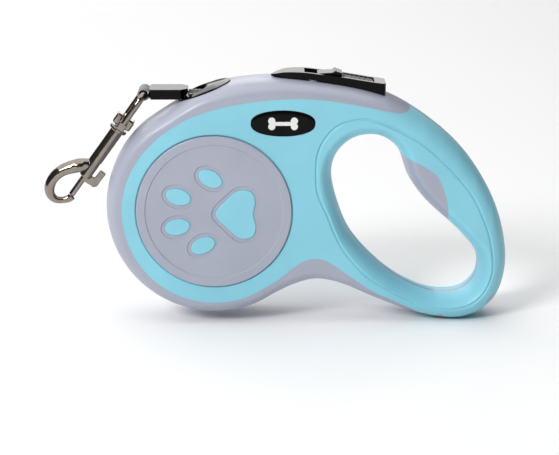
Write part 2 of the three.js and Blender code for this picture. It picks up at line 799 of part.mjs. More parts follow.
// The tape leaves the coil at a tangent and climbs to the foot of the mouth's slot.
const tapeRun = (() => {
  const [mx, mz] = [2, TAPE_Z - TAPE_THICKNESS - SLOT_ROOM];
  const reach = Math.hypot(mx, mz);
  const radius = coilRadius + GAP + TAPE_THICKNESS / 2;
  const angle = Math.atan2(mz, mx) - Math.acos(radius / reach);
  const [tx, tz] = [radius * Math.cos(angle), radius * Math.sin(angle)];
  const length = Math.hypot(mx - tx, mz - tz);
  const across = [
    (-(mz - tz) / length) * (TAPE_THICKNESS / 2),
    ((mx - tx) / length) * (TAPE_THICKNESS / 2),
  ];
  const corner = (x, z, sign) => [x + sign * across[0], z + sign * across[1]];
  return slab([corner(tx, tz, 1), corner(mx, mz, 1), corner(mx, mz, -1), corner(tx, tz, -1)], tapeHalf, -tapeHalf);
})();

const tapeLead = box(
  [STOP_BACK + GAP, -tapeHalf, TAPE_Z - TAPE_THICKNESS / 2],
  [LEAD_INSIDE, tapeHalf, TAPE_Z + TAPE_THICKNESS / 2],
);

// ---- End stop and loop ----

const endStop = slab(
  [
    [STOP_FRONT, stopFoot + 1.1],
    [STOP_FRONT + 1.2, stopFoot],
    [Math.min(slopeX(stopFoot) - STOP_CLEAR, STOP_BACK - 3), stopFoot],
    [STOP_BACK, stopFoot + 2.1],
    [STOP_BACK, stopTop - 1],
    [STOP_BACK - 1, stopTop],
    [STOP_FRONT + 1.2, stopTop],
    [STOP_FRONT, stopTop - 1.2],
  ],
  STOP_HALF_WIDTH,
  -STOP_HALF_WIDTH,
);
const loopHalf = tapeHalf - 0.4;
const tapeLoop = cut(
  slab(
    [
      ...arc(LOOP_RADIUS, 60, 300, 12, SNAP_PIVOT_X, SNAP_PIVOT_Z),
      [STOP_FRONT - GAP, SNAP_PIVOT_Z - TAPE_THICKNESS],
      [STOP_FRONT - GAP, SNAP_PIVOT_Z + TAPE_THICKNESS],
    ],
    loopHalf,
    -loopHalf,
  ),
  crossRod(SNAP_PIVOT_X, SNAP_PIVOT_Z, EYE_WIRE + RUNNING, -BODY_HALF, BODY_HALF, 16),
);

// ---- Snap, drawn hanging straight down from its pivot ----

const eyeWire = wire(
  [
    [0, -EYE_HALF_WIDTH, -EYE_DROP - 2],
    [0, -EYE_HALF_WIDTH, -EYE_DROP / 2],
    [0, -EYE_HALF_WIDTH + 0.3, -2.6],
    [0, -EYE_HALF_WIDTH + 2, -0.4],
    [0, -EYE_HALF_WIDTH + 3.6, 0],
    [0, 0, 0],
    [0, EYE_HALF_WIDTH - 3.6, 0],
    [0, EYE_HALF_WIDTH - 2, -0.4],
    [0, EYE_HALF_WIDTH - 0.3, -2.6],
    [0, EYE_HALF_WIDTH, -EYE_DROP / 2],
    [0, EYE_HALF_WIDTH, -EYE_DROP - 2],
  ],
  EYE_WIRE,
  26,
);
const baseHalf = EYE_HALF_WIDTH + EYE_WIRE;
const swivelEye = cut(
  join(
    eyeWire,
    box([-2, -baseHalf, -EYE_DROP - EYE_BASE], [2, baseHalf, -EYE_DROP]),
    box([-4.4, -3, -EYE_DROP - EYE_BASE], [4.4, 3, -EYE_DROP + 1]),
    bar(STEM_RADIUS, -BARREL_TOP - STEM_REACH, -EYE_DROP - 2),
  ),
  box([-1.3, -4, -EYE_DROP - EYE_BASE + 2], [1.3, 4, -EYE_DROP + 2]),
);

const hookWire = wire(
  [
    [-0.6, 0, -BARREL_END + 8.2],
    [-4.4, 0, -BARREL_END + 4.4],
    [-7.3, 0, -BARREL_END + 0.6],
    [-9.8, 0, -BARREL_END - 4.2],
    [-10.9, 0, -BARREL_END - 8.9],
    [-10, 0, -BARREL_END - 13.5],
    [-7.4, 0, -BARREL_END - 16.2],
    [-4.2, 0, -BARREL_END - 16.4],
    [-1.2, 0, -BARREL_END - 14.6],
    [0, 0, -BOLT_END - 0.6],
  ],
  HOOK_WIRE,
  30,
);
const snapBody = cut(
  join(
    bar(BARREL_RADIUS, -BARREL_END, -BARREL_TOP - 1, 20),
    bar(COLLAR_RADIUS, -BARREL_TOP - COLLAR_HEIGHT, -BARREL_TOP, 20),
    hookWire,
  ),
  bar(STEM_RADIUS + RUNNING, -BARREL_TOP - STEM_REACH - RUNNING, -BARREL_TOP + 1),
  bar(BOLT_RADIUS + RUNNING, -BOLT_END - RUNNING, -BORE_TOP),
  box([0, -1.5, -BARREL_END - 1], [BARREL_RADIUS + 1, 1.5, -BARREL_END + 6.8]),
);
const lever = slab(
  [
    [0, -BARREL_END - 1.2],
    [3.9, -BARREL_END - 1],
    [LEVER_REACH - 2.6, -BARREL_END + 5.6],
    [LEVER_REACH - 0.4, -BARREL_END + 6.6],
    [LEVER_REACH, -BARREL_END + 5.4],
    [LEVER_REACH - 1.2, -BARREL_END - 1.2],
    [LEVER_REACH - 2.6, -BARREL_END - 3],
    [0, -BARREL_END - 3],
  ],
  1.1,
  -1.1,
);
const snapBolt = join(
  bar(BOLT_RADIUS, -BOLT_END, -BOLT_TOP),
  lever,
);
const snapSpring = helix(0, 0, -BOLT_TOP + BOLT_TRAVEL + GAP, -BORE_TOP - GAP, 1.15, 0.3, 3);

// ---- Brake ----

const bezelWindow = box(
  [LOCK_ROOM, -WINDOW_HALF_WIDTH, BODY_RADIUS],
  [BUTTON_BACK + RUNNING, WINDOW_HALF_WIDTH, BODY_RADIUS + 20],
);
const lockRecess = slab(
  [
    above(RECESS_FRONT, 13),
    above(RECESS_FRONT + 2.6, 10.6),
    above(BUTTON_FRONT, 10.6),
    above(BUTTON_FRONT, 13),
  ],
  WINDOW_HALF_WIDTH,
  -WINDOW_HALF_WIDTH,
);
const brakeBezel = cut(
  slab([...bezelTop, ...bezelFoot], BEZEL_HALF_WIDTH, -BEZEL_HALF_WIDTH).intersect(
    boat(0, BODY_RADIUS, BODY_RADIUS + 20),
  ),
  bezelWindow,
  lockRecess,
);

const buttonHalf = WINDOW_HALF_WIDTH - RUNNING;
const brakeButton = join(
  slab(
    [
      [BUTTON_FRONT, LOCK_FOOT - 0.3],
      [LOCK_BACK + 0.4, LOCK_FOOT - 0.3],
      [BUTTON_BACK, BODY_RADIUS + 8.3],
      [BUTTON_BACK, BODY_RADIUS + 5.4],
      [LOCK_BACK, BODY_RADIUS + 6.8],
      [BUTTON_FRONT, BODY_RADIUS + 6.8],
    ],
    buttonHalf,
    -buttonHalf,
  ),
  box([STEM_X - 1.2, -3, STEM_Z + RUNNING], [STEM_X + 1.8, 3, BODY_RADIUS + 7]),
);
const lockSlider = slab(
  [
    [BUTTON_FRONT, LOCK_FOOT],
    [LOCK_BACK, LOCK_FOOT],
    [LOCK_BACK - 2.6, LOCK_FOOT + 1.9],
    [LOCK_BACK - 3.6, LOCK_FOOT + 1.9],
    [BUTTON_FRONT + 1.4, LOCK_FOOT + 0.9],
  ],
  buttonHalf,
  -buttonHalf,
);

const pawlFar = -drumHalf;
const pawlNear = -drumHalf - FLANGE_THICKNESS;
const tipRadius = flangeRadius + PAWL_LIFT;
const tipAt = (radius, degrees) => {
  const angle = TOOTH_ANGLE + THREE.MathUtils.degToRad(degrees);
  return [radius * Math.cos(angle), radius * Math.sin(angle)];
};
const brakePawl = cut(
  join(
    slab(
      [
        tipAt(tipRadius, -1.6),
        tipAt(tipRadius + 3.2, -3.4),
        [STEM_X - 1, STEM_Z - 4.6],
        [PAWL_X - 2, PAWL_Z - 2.6],
        [PAWL_X + 2, PAWL_Z - 2.4],
        [PAWL_X + 3, PAWL_Z],
        [PAWL_X + 2, PAWL_Z + 2.2],
        [PAWL_X - 1, PAWL_Z + 2.4],
        [STEM_X + 2, STEM_Z],
        [STEM_X - 2, STEM_Z],
        tipAt(tipRadius + 5.4, 3.4),
        tipAt(tipRadius, 1.6),
      ],
      pawlFar,
      pawlNear,
    ),
    box([STEM_X - 2, pawlNear, STEM_Z - 2.2], [STEM_X + 2, 3, STEM_Z]),
  ),
  crossRod(PAWL_X, PAWL_Z, PAWL_PIN_RADIUS + RUNNING / 2, -BODY_HALF, BODY_HALF, 16),
);
const pawlPin = crossRod(PAWL_X, PAWL_Z, PAWL_PIN_RADIUS, -CAVITY_HALF + 0.6, CAVITY_HALF - 0.6, 16);
const buttonSpring = helix(SHELF_X, 0, SHELF_Z + GAP, BODY_RADIUS + 6, 2.4, 0.45, 4);

// ---- Screws ----

// A screw that points to the left side, with its head's seat and its tip at these y.
function screw(seat, tip, headHeight) {
  const head = seat + GAP / 2;
  const profile = [
    [0, tip],
    [SCREW_RADIUS, tip + 1],
    [SCREW_RADIUS, head],
    [SCREW_HEAD_RADIUS, head],
    [SCREW_HEAD_RADIUS, head + headHeight / 2],
    [SCREW_HEAD_RADIUS - 0.8, head + headHeight],
    [0, head + headHeight],
  ].map(([r, y]) => new THREE.Vector2(r, y));
  return new THREE.LatheGeometry(profile, 10);
}

// ---- Assembly ----

const leash = new THREE.Group();
leash.position.set(-GRIP_X, 0, -GRIP_Z);
const snap = new THREE.Group();
snap.position.set(SNAP_PIVOT_X, 0, SNAP_PIVOT_Z);
snap.rotation.y = SNAP_LEAN;
leash.add(snap);

function add(parent, name, shape, material) {
  const geometry = shape.isBufferGeometry ? shape : geometryOf(shape);
  const mesh = new THREE.Mesh(geometry, material);
  mesh.name = name;
  parent.add(mesh);
  return mesh;
}

add(leash, "left_shell", leftShell, greyShell);
add(leash, "right_shell", rightShell, greyShell);
add(leash, "left_overmould", leftSkin, blueSkin);
add(leash, "right_overmould", rightSkin, blueSkin);
add(leash, "left_disc", disc, greyShell);
add(leash, "right_disc", mirror(disc), greyShell);
add(leash, "left_paw_plate", pawPlate, blueSkin);
add(leash, "right_paw_plate", mirror(pawPlate), blueSkin);
add(leash, "left_badge", badge, blackGloss);
add(leash, "right_badge", mirror(badge), blackGloss);
add(leash, "mouth_guide", mouthGuide, blackGloss);
add(leash, "reel", reel, whiteNylon);
add(leash, "reel_flange", reelFlange, whiteNylon);
add(leash, "spiral_spring", spiralSpring, steel);
add(leash, "axle_pin", axlePin, steel);
add(leash, "tape_coil", tapeCoil, webbing);
add(leash, "tape_run", tapeRun, webbing);
add(leash, "tape_lead", tapeLead, webbing);
add(leash, "end_stop", endStop, blackSatin);
add(leash, "tape_loop", tapeLoop, webbingGrey);
add(leash, "brake_bezel", brakeBezel, blackSatin);
add(leash, "brake_button", brakeButton, blackSatin);
add(leash, "lock_slider", lockSlider, blackSatin);
add(leash, "brake_pawl", brakePawl, whiteNylon);
add(leash, "pawl_pin", pawlPin, steel);
add(leash, "button_spring", buttonSpring, steel);
add(snap, "swivel_eye", swivelEye, nickel);
add(snap, "snap_body", snapBody, nickel);
add(snap, "snap_bolt", snapBolt, nickel);
add(snap, "snap_spring", snapSpring, steel);
SCREWS.forEach(([x, z], i) => {
  const housingScrew = screw(SCREW_SEAT, -SCREW_REACH, SCREW_HEAD_HEIGHT);
  add(leash, `screw_${i + 1}`, housingScrew, steel).position.set(x, 0, z);
});
add(leash, "axle_screw", screw(AXLE_SCREW_SEAT, 0, AXLE_SCREW_HEAD), steel);

export default leash;
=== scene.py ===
"""The looks of a retractable dog leash, built round its CAD frame.

Shapes are drawn in millimetres round the reel's axis: X runs back to the handle, Y to the
right-hand side and Z up. The snap is drawn hanging straight down from its pivot. Each finished
piece is then put in its place in the frame, in metres.
"""

import json
import math
from collections import namedtuple

import bmesh
import bpy
from mathutils import Matrix, Vector


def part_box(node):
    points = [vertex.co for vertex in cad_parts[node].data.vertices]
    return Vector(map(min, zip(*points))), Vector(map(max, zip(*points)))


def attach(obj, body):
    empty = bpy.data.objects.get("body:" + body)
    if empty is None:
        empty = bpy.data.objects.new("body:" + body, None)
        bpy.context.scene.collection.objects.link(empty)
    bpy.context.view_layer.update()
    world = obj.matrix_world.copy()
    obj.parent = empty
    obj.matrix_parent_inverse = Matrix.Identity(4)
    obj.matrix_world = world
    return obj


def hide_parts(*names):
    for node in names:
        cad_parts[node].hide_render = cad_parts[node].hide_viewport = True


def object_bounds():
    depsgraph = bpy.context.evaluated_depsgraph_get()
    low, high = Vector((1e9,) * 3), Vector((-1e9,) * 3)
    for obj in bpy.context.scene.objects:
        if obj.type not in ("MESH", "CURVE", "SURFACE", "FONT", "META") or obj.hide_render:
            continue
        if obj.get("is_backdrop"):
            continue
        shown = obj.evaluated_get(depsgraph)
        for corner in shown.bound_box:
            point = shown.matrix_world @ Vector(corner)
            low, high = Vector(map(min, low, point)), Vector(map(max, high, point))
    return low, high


bl_info = {
    "name": "Retractable leash",
    "version": (1, 0, 0),
    "blender": (4, 5, 0),
    "location": "3D View > Sidebar > Leash",
    "description": "Builds a retractable dog leash round its CAD frame",
    "category": "Add Mesh",
}

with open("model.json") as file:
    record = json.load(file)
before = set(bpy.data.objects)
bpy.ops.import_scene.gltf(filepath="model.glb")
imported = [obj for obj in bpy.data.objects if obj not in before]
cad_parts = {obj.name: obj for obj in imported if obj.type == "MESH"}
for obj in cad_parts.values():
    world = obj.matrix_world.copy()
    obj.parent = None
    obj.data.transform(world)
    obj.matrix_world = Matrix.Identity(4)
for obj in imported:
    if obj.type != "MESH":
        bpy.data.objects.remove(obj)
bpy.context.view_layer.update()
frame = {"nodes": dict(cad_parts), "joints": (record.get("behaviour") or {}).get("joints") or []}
JOINTS = {joint["name"]: joint for joint in frame["joints"]}
MM = 0.001


# ---- Places ----


def middle(node):
    low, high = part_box(node)
    return (low + high) / 2


REEL_AXIS = Vector((middle("left_disc").x, 0, middle("left_disc").z))
LEASH = Matrix.Translation(REEL_AXIS) @ Matrix.Scale(MM, 4)
SNAP_UP = Vector(JOINTS["snap_swivel"]["axis"]).normalized()
SNAP_TURN = Vector((0, 0, 1)).rotation_difference(SNAP_UP).to_matrix().to_4x4()
SNAP = (
    Matrix.Translation(Vector(JOINTS["snap_swing"]["pos_m"]))
    @ SNAP_TURN
    @ Matrix.Scale(MM, 4)
)


def span(node):
    """A node's lowest and highest corners, in millimetres round the reel's axis."""
    low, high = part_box(node)
    return (low - REEL_AXIS) / MM, (high - REEL_AXIS) / MM


DISC_LOW, DISC_HIGH = span("left_disc")
STOP_LOW, STOP_HIGH = span("end_stop")
TAPE_LOW, TAPE_HIGH = span("tape_lead")
BEZEL_LOW, BEZEL_HIGH = span("brake_bezel")
BUTTON_LOW, BUTTON_HIGH = span("brake_button")
LOCK_LOW, LOCK_HIGH = span("lock_slider")
PLATE_LOW, PLATE_HIGH = span("left_paw_plate")
BADGE_LOW, BADGE_HIGH = span("left_badge")

BODY_RADIUS = 48.5
BADGE_ENDS = 0.8
BODY_HALF = -span("left_overmould")[0].y
HANDLE_REACH = 131.6
HANDLE_HALF = 13
TAPER_START = 44
BODY_SHOULDER = 6.3
HANDLE_SHOULDER = 9.5
HOLE_SHOULDER = 6
SHOULDER_POWER = 3
HOLE_POWER = 2.2
SKIN = 1.4
RIM_WALL = 2.4
CAVITY_HALF = BODY_HALF - 4.1
PARTING = 0.1
SEAM = 1.3
SEAT_GAP = 0.15
BOND_GAP = 0.02
RUNNING = 0.35
DISC_RADIUS = (DISC_HIGH.x - DISC_LOW.x) / 2
DISC_FACE = -DISC_LOW.y
DISC_BACK = -DISC_HIGH.y
TAPE_Z = (TAPE_LOW.z + TAPE_HIGH.z) / 2
TAPE_HALF = TAPE_HIGH.y
TAPE_THICK = TAPE_HIGH.z - TAPE_LOW.z
MOUTH_X = -4.2
MOUTH_Z = BODY_RADIUS + 3.5
MOUTH_SLOPE = math.radians(23)
MOUTH_HALF_LENGTH = 12.4
MOUTH_HALF_WIDTH = 11
MOUTH_DEPTH = 3.4
MOUTH_PROUD = 0.5
WINDOW_HALF_WIDTH = 4.9
LOCK_TRAVEL = JOINTS["lock_slide"]["range_m"][1] / MM
BUTTON_TRAVEL = JOINTS["button_press"]["range_m"][1] / MM
LOCK_ROOM = BUTTON_LOW.x - LOCK_TRAVEL - RUNNING
SCREW_SEAT = 5
SCREW_HEAD_RADIUS = 2.6
SCREW_RADIUS = 1.2
SCREW_REACH = 7

# Bodies that only cut reach well past the housing
PAST = 2
HIGH = BODY_RADIUS + 20

# How finely the rounded shapes are drawn
OUTLINE_POINTS = 264
HOLE_POINTS = 168
SHOULDER_STEPS = 13
ROUND_SIDES = 160


def above(x, height):
    """A point set by the top of the body."""
    return (x, BODY_RADIUS + height)


def along(share, z):
    """A point that lies along the handle: 0 is at the back of the body, and 1 at the end."""
    return (BODY_RADIUS + share * (HANDLE_REACH - BODY_RADIUS), z)


# ---- Outlines ----


def arc(radius, start, end, steps, x=0.0, z=0.0):
    angles = [math.radians(start + (end - start) * i / steps) for i in range(steps + 1)]
    return [(x + radius * math.cos(a), z + radius * math.sin(a)) for a in angles]


def between(corners, share):
    """A point on the centripetal spline through four corners, part way from the second to the
    third."""
    knots = [0.0]
    for a, b in zip(corners, corners[1:]):
        knots.append(knots[-1] + math.sqrt((b - a).length))
    t = blend(knots[1], knots[2], share)

    def on(a, b, start, end):
        return a + (b - a) * ((t - knots[start]) / (knots[end] - knots[start]))

    first, second, third = [on(corners[i], corners[i + 1], i, i + 1) for i in range(3)]
    return on(on(first, second, 0, 2), on(second, third, 1, 3), 1, 2)


def smooth(points, count, closed=True):
    """A smooth line through points: a closed ring runs counter-clockwise."""
    total = len(points)
    spans = total if closed else total - 1
    line = []
    for i in range(count):
        place = i * spans / (count if closed else count - 1)
        k = min(int(place), spans - 1)
        picked = []
        for j in (k - 1, k, k + 1, k + 2):
            picked.append(Vector(points[j % total if closed else min(max(j, 0), total - 1)]))
        if not closed and k == 0:
            picked[0] = 2 * picked[1] - picked[2]
        if not closed and k == spans - 1:
            picked[3] = 2 * picked[2] - picked[1]
        line.append(tuple(between(picked, place - k)))
    if closed and area(line) < 0:
        line.reverse()
    return line


def area(ring):
    return sum(a[0] * b[1] - b[0] * a[1] for a, b in zip(ring, ring[1:] + ring[:1])) / 2


def inset(ring, distance):
    """A counter-clockwise ring moved inwards, by a distance that may change with x."""
    moved = []
    for i, (x, z) in enumerate(ring):
        before = Vector(ring[i - 1])
        after = Vector(ring[(i + 1) % len(ring)])
        run = (after - before).normalized()
        d = distance(x) if callable(distance) else distance
        moved.append((x - run.y * d, z + run.x * d))
    return moved


def smoothstep(x, low, high):
    t = min(max((x - low) / (high - low), 0), 1)
    return t * t * (3 - 2 * t)


def blend(a, b, share):
    return a + (b - a) * share


OUTLINE = smooth(
    [
        *arc(BODY_RADIUS, 118, 306, 13),
        along(-0.137, -35.2),
        along(-0.036, -33.2),
        along(0.089, -35.2),
        along(0.29, -42.6),
        along(0.466, -48.4),
        along(0.628, -51.9),
        along(0.764, -52.2),
        along(0.884, -48),
        along(0.964, -40),
        along(1, -26),
        along(0.976, -10),
        along(0.903, 6.4),
        along(0.755, 25),
        along(0.56, 39.6),
        above(79.1, 0.7),
        above(66, 4.8),
        above(50, 7.8),
        above(32, 9.6),
        above(15, 8.9),
        above(3, 6.9),
        above(-8, 3.2),
    ],
    OUTLINE_POINTS,
)
HOLE = smooth(
    [
        along(0.046, 15),
        along(0.077, 24.9),
        along(0.168, 31.6),
        along(0.294, 32.5),
        along(0.395, 26.8),
        along(0.458, 13.8),
        along(0.545, 3.6),
        along(0.739, -11.8),
        along(0.841, -23),
        along(0.841, -33.2),
        along(0.767, -40.2),
        along(0.616, -41.4),
        along(0.403, -33.8),
        along(0.203, -18.6),
        along(0.118, -7.4),
    ],
    HOLE_POINTS,
)
# Angles round the reel, each with how far in from the body's edge the skin ends there
SKIN_FRONT = [
    (118, 6.7),
    (129, 7.4),
    (142, 7.75),
    (158, 7.8),
    (174, 7.6),
    (190, 7.5),
    (206, 7.2),
    (222, 6.7),
    (238, 6.4),
    (254, 6.2),
    (270, 6.2),
    (287, 6.2),
    (304, 6.5),
]
# The edge of the blue skin: over the top of the body, round its front and along the belly.
SKIN_EDGE = smooth(
    [
        along(0.56, 66),
        along(0.475, 46),
        along(0.41, 44),
        along(0.338, 45),
        above(62, -0.4),
        above(46, 2),
        above(32, 2.3),
        above(18, 1.1),
        above(4, -1.4),
        above(-5, -4.2),
        above(-10.5, -6.2),
        above(-14.8, -8.5),
        *[arc(BODY_RADIUS - margin, angle, angle, 1)[0] for angle, margin in SKIN_FRONT],
        along(-0.241, -31.6),
        along(-0.113, -23.4),
        along(-0.048, -21.9),
        along(0.017, -22.9),
        along(0.146, -30.2),
        along(0.278, -37.9),
        along(0.408, -43.2),
        along(0.519, -49),
        along(0.543, -64),
    ],
    200,
    closed=False,
)
SKIN_REGION = [*SKIN_EDGE, along(1.15, -64), along(1.15, 66)]
# Bare grey patch on the inside of the grip.
GRIP_PATCH = [
    *smooth(
        [
            along(0.302, 27),
            along(0.426, 24.4),
            along(0.471, 22.8),
            along(0.539, 20),
            along(0.604, 15.8),
            along(0.639, 10.3),
            along(0.661, 4.8),
            along(0.671, -1.5),
            along(0.668, -8),
        ],
        40,
        closed=False,
    ),
    along(0.56, -8),
    along(0.326, 6),
]
GRIP_PATCH.reverse()
# The fine groove that frames the grip.
GROOVE = smooth(
    [
        (45.4, 14.8),
        (45.7, 24.3),
        (46.8, 28.7),
        (48.9, 32.7),
        (51.8, 36.4),
        (55.9, 39.4),
        (60, 40.8),
        (64.6, 41.5),
        (69.8, 41),
        (74.8, 39.5),
        (80, 37.2),
        (84.8, 34.7),
        (92, 30.3),
        (100.4, 23.2),
        (108.2, 15.1),
        (114.8, 6.7),
        (119.7, -3),
        (122.9, -11.6),
        (124.6, -19.5),
        (125.1, -25),
        (124.8, -30.2),
        (122.8, -36.4),
        (119.2, -41.5),
        (115.3, -44.4),
        (110.8, -46),
        (106.2, -46.5),
        (101.5, -46.2),
        (97, -45.5),
        (92.3, -44.1),
        (87.7, -41.9),
        (83, -39.5),
        (76, -35.6),
        (69.3, -31.2),
        (63.3, -25.2),
        (58, -18.4),
        (53.8, -10.4),
        (50.2, -1.2),
        (47.6, 4.2),
        (46, 9),
    ],
    300,
)
GROOVE_LIFT = 0.3
# Small bare ovals at the foot of the grip: centre, half length, half height and turn
BARE_SPOTS = [
    (along(0.64, -51), 1.9, 1.9, 0),
    (along(0.936, -42.7), 3.9, 2.7, 50),
]

TOES = [((-1.5, 15.3), -30), ((-15.7, 7), -17), ((-16.3, -6.9), 12), ((-5, -15.5), 25)]
TOE_LONG = 5.7
TOE_SHORT = 3.7
PALM = smooth(
    [
        (0.6, -0.9),
        (5.6, 5.6),
        (11.6, 10),
        (16.8, 9),
        (18.4, 4.6),
        (17.4, -1),
        (18.6, -7),
        (17, -11.4),
        (11.6, -12.2),
        (5.4, -7.2),
    ],
    72,
)


def oval(at, half_length, half_height, degrees, count=48):
    turn = math.radians(degrees)
    ring = []
    for i in range(count):
        a = 2 * math.pi * i / count
        x, z = half_length * math.cos(a), half_height * math.sin(a)
        ring.append(
            (
                at[0] + x * math.cos(turn) - z * math.sin(turn),
                at[1] + x * math.sin(turn) + z * math.cos(turn),
            )
        )
    return ring


def pads(grow):
    """The outlines of the paw's four toes and its palm."""
    toes = [oval(at, TOE_LONG + grow, TOE_SHORT + grow, turn) for at, turn in TOES]
    return [*toes, inset(PALM, -grow)]


def half_at(x):
    """Half the housing's thickness: it thins from the back of the body to the handle's end."""
    share = max(0, (x - TAPER_START) / (HANDLE_REACH - TAPER_START))
    return blend(BODY_HALF, HANDLE_HALF, share)


def shoulder_at(x):
    share = smoothstep(x, BODY_RADIUS + 10, HANDLE_REACH - 30)
    return blend(BODY_SHOULDER, HANDLE_SHOULDER, share)


def wall_at(x):
    return blend(RIM_WALL, RIM_WALL + SKIN, smoothstep(x, BODY_RADIUS + 8, BODY_RADIUS + 34))


def rounding(power, steps=SHOULDER_STEPS):
    """Height and run of a rounded shoulder, from the parting plane to the face."""
    pairs = []
    for i in range(steps + 1):
        angle = math.pi / 2 * i / steps
        c, s = max(math.cos(angle), 0), math.sin(angle)
        size = (c**power + s**power) ** (-1 / power)
        pairs.append((s * size, 1 - c * size))
    return pairs


# ---- Modelling ----


def choose(*pieces):
    """Selects these pieces alone, with the last one active."""
    if bpy.context.mode != "OBJECT":
        bpy.ops.object.mode_set(mode="OBJECT")
    bpy.ops.object.select_all(action="DESELECT")
    for piece in pieces:
        piece.select_set(True)
    bpy.context.view_layer.objects.active = pieces[-1] if pieces else None


def loft(rings, marks=None):
    """A closed body through rings of as many points, extruded from one ring to the next. Marks
    are kept on the points as how far along the body they lie."""
    choose()
    bpy.ops.mesh.primitive_circle_add(
        vertices=len(rings[0]), radius=1, fill_type="NGON"
    )
    body = bpy.context.object
    bpy.ops.object.mode_set(mode="EDIT")
    bpy.ops.mesh.select_all(action="SELECT")
    mesh = bmesh.from_edit_mesh(body.data)
    order = mesh.verts.layers.int.new("order")
    distance = mesh.verts.layers.float.new("along") if marks else None
    for i, vertex in enumerate(mesh.verts):
        vertex[order] = i
    for k, ring in enumerate(rings):
        if k:
            bpy.ops.mesh.extrude_region_move()
            mesh = bmesh.from_edit_mesh(body.data)
            order = mesh.verts.layers.int["order"]
            distance = mesh.verts.layers.float["along"] if marks else None
        for vertex in mesh.verts:
            if vertex.select:
                vertex.co = ring[vertex[order]]
                if marks:
                    vertex[distance] = marks[k]
        bmesh.update_edit_mesh(body.data)
    bpy.ops.mesh.select_all(action="SELECT")
    bpy.ops.mesh.normals_make_consistent(inside=False)
    bpy.ops.object.mode_set(mode="OBJECT")
    body.data.attributes.remove(body.data.attributes["order"])
    return body


def level(ring, y):
    return [(x, y, z) for x, z in ring]


def slab(ring, far, near):
    """A flat outline given a thickness across the leash."""
    return loft([level(ring, far), level(ring, near)])


def block(low, high):
    choose()
    size = [b - a for a, b in zip(low, high)]
    place = [(a + b) / 2 for a, b in zip(low, high)]
    bpy.ops.mesh.primitive_cube_add(size=1, location=place, scale=size)
    bpy.ops.object.transform_apply(location=True, rotation=False, scale=True)
    return bpy.context.object


def cross_rod(x, z, radius, far, near, sides=64):
    """A round bar across the leash."""
    choose()
    bpy.ops.mesh.primitive_cylinder_add(
        vertices=sides,
        radius=radius,
        depth=abs(near - far),
        location=(x, (far + near) / 2, z),
        rotation=(math.pi / 2, 0, 0),
    )
    bpy.ops.object.transform_apply(location=True, rotation=True, scale=False)
    return bpy.context.object


def turned(profile, sides=64):
    """A body turned round an upright axis, from (radius, z) points that run upwards."""
    rings = []
    for radius, z in profile:
        angles = [2 * math.pi * i / sides for i in range(sides)]
        rings.append([(radius * math.cos(a), radius * math.sin(a), z) for a in angles])
    return loft(rings)


def tube(points, radius, closed=False, radii=None, sides=6):
    """A round wire along a line of points, whose thickness may change along it."""
    choose()
    curve = bpy.data.curves.new("wire", "CURVE")
    curve.dimensions = "3D"
    curve.bevel_depth = radius
    curve.bevel_resolution = sides
    curve.use_fill_caps = True
    spline = curve.splines.new("POLY")
    spline.points.add(len(points) - 1)
    for i, point in enumerate(points):
        spline.points[i].co = (*point, 1)
        spline.points[i].radius = radii[i] if radii else 1
    spline.use_cyclic_u = closed
    wire = bpy.data.objects.new("wire", curve)
    bpy.context.scene.collection.objects.link(wire)
    choose(wire)
    bpy.ops.object.convert(target="MESH")
    bpy.ops.object.mode_set(mode="EDIT")
    bpy.ops.mesh.select_all(action="SELECT")
    bpy.ops.mesh.remove_doubles(threshold=1e-4)
    bpy.ops.mesh.normals_make_consistent(inside=False)
    bpy.ops.object.mode_set(mode="OBJECT")
    return bpy.context.object


def combine(piece, *tools, operation="DIFFERENCE"):
    """Cuts tools out of a piece, or joins them to it."""
    for tool in tools:
        choose(piece)
        bpy.ops.object.modifier_add(type="BOOLEAN")
        modifier = piece.modifiers[-1]
        modifier.operation = operation
        modifier.solver = "EXACT"
        modifier.object = tool
        bpy.ops.object.modifier_apply(modifier=modifier.name)
        bpy.data.objects.remove(tool)
    return piece


def unite(piece, *tools):
    return combine(piece, *tools, operation="UNION")


def copy_of(piece):
    twin = piece.copy()
    twin.data = piece.data.copy()
    bpy.context.scene.collection.objects.link(twin)
    return twin


def mirrored(piece):
    """A copy of a piece for the other side of the leash."""
    twin = copy_of(piece)
    choose(twin)
    bpy.ops.object.mode_set(mode="EDIT")
    bpy.ops.mesh.select_all(action="SELECT")
    bpy.ops.transform.mirror(
        constraint_axis=(False, True, False), orient_type="GLOBAL", center_override=(0, 0, 0)
    )
    bpy.ops.mesh.flip_normals()
    bpy.ops.object.mode_set(mode="OBJECT")
    return twin


def bevel(piece, width, segments=2, degrees=30):
    choose(piece)
    bpy.ops.object.modifier_add(type="BEVEL")
    modifier = piece.modifiers[-1]
    modifier.width = width
    modifier.segments = segments
    modifier.limit_method = "ANGLE"
    modifier.angle_limit = math.radians(degrees)
    bpy.ops.object.modifier_apply(modifier=modifier.name)
    return piece


def clean(piece, distance=1e-4):
    choose(piece)
    bpy.ops.object.mode_set(mode="EDIT")
    bpy.ops.mesh.select_all(action="SELECT")
    bpy.ops.mesh.remove_doubles(threshold=distance)
    bpy.ops.mesh.dissolve_degenerate(threshold=distance)
    bpy.ops.object.mode_set(mode="OBJECT")
    return piece


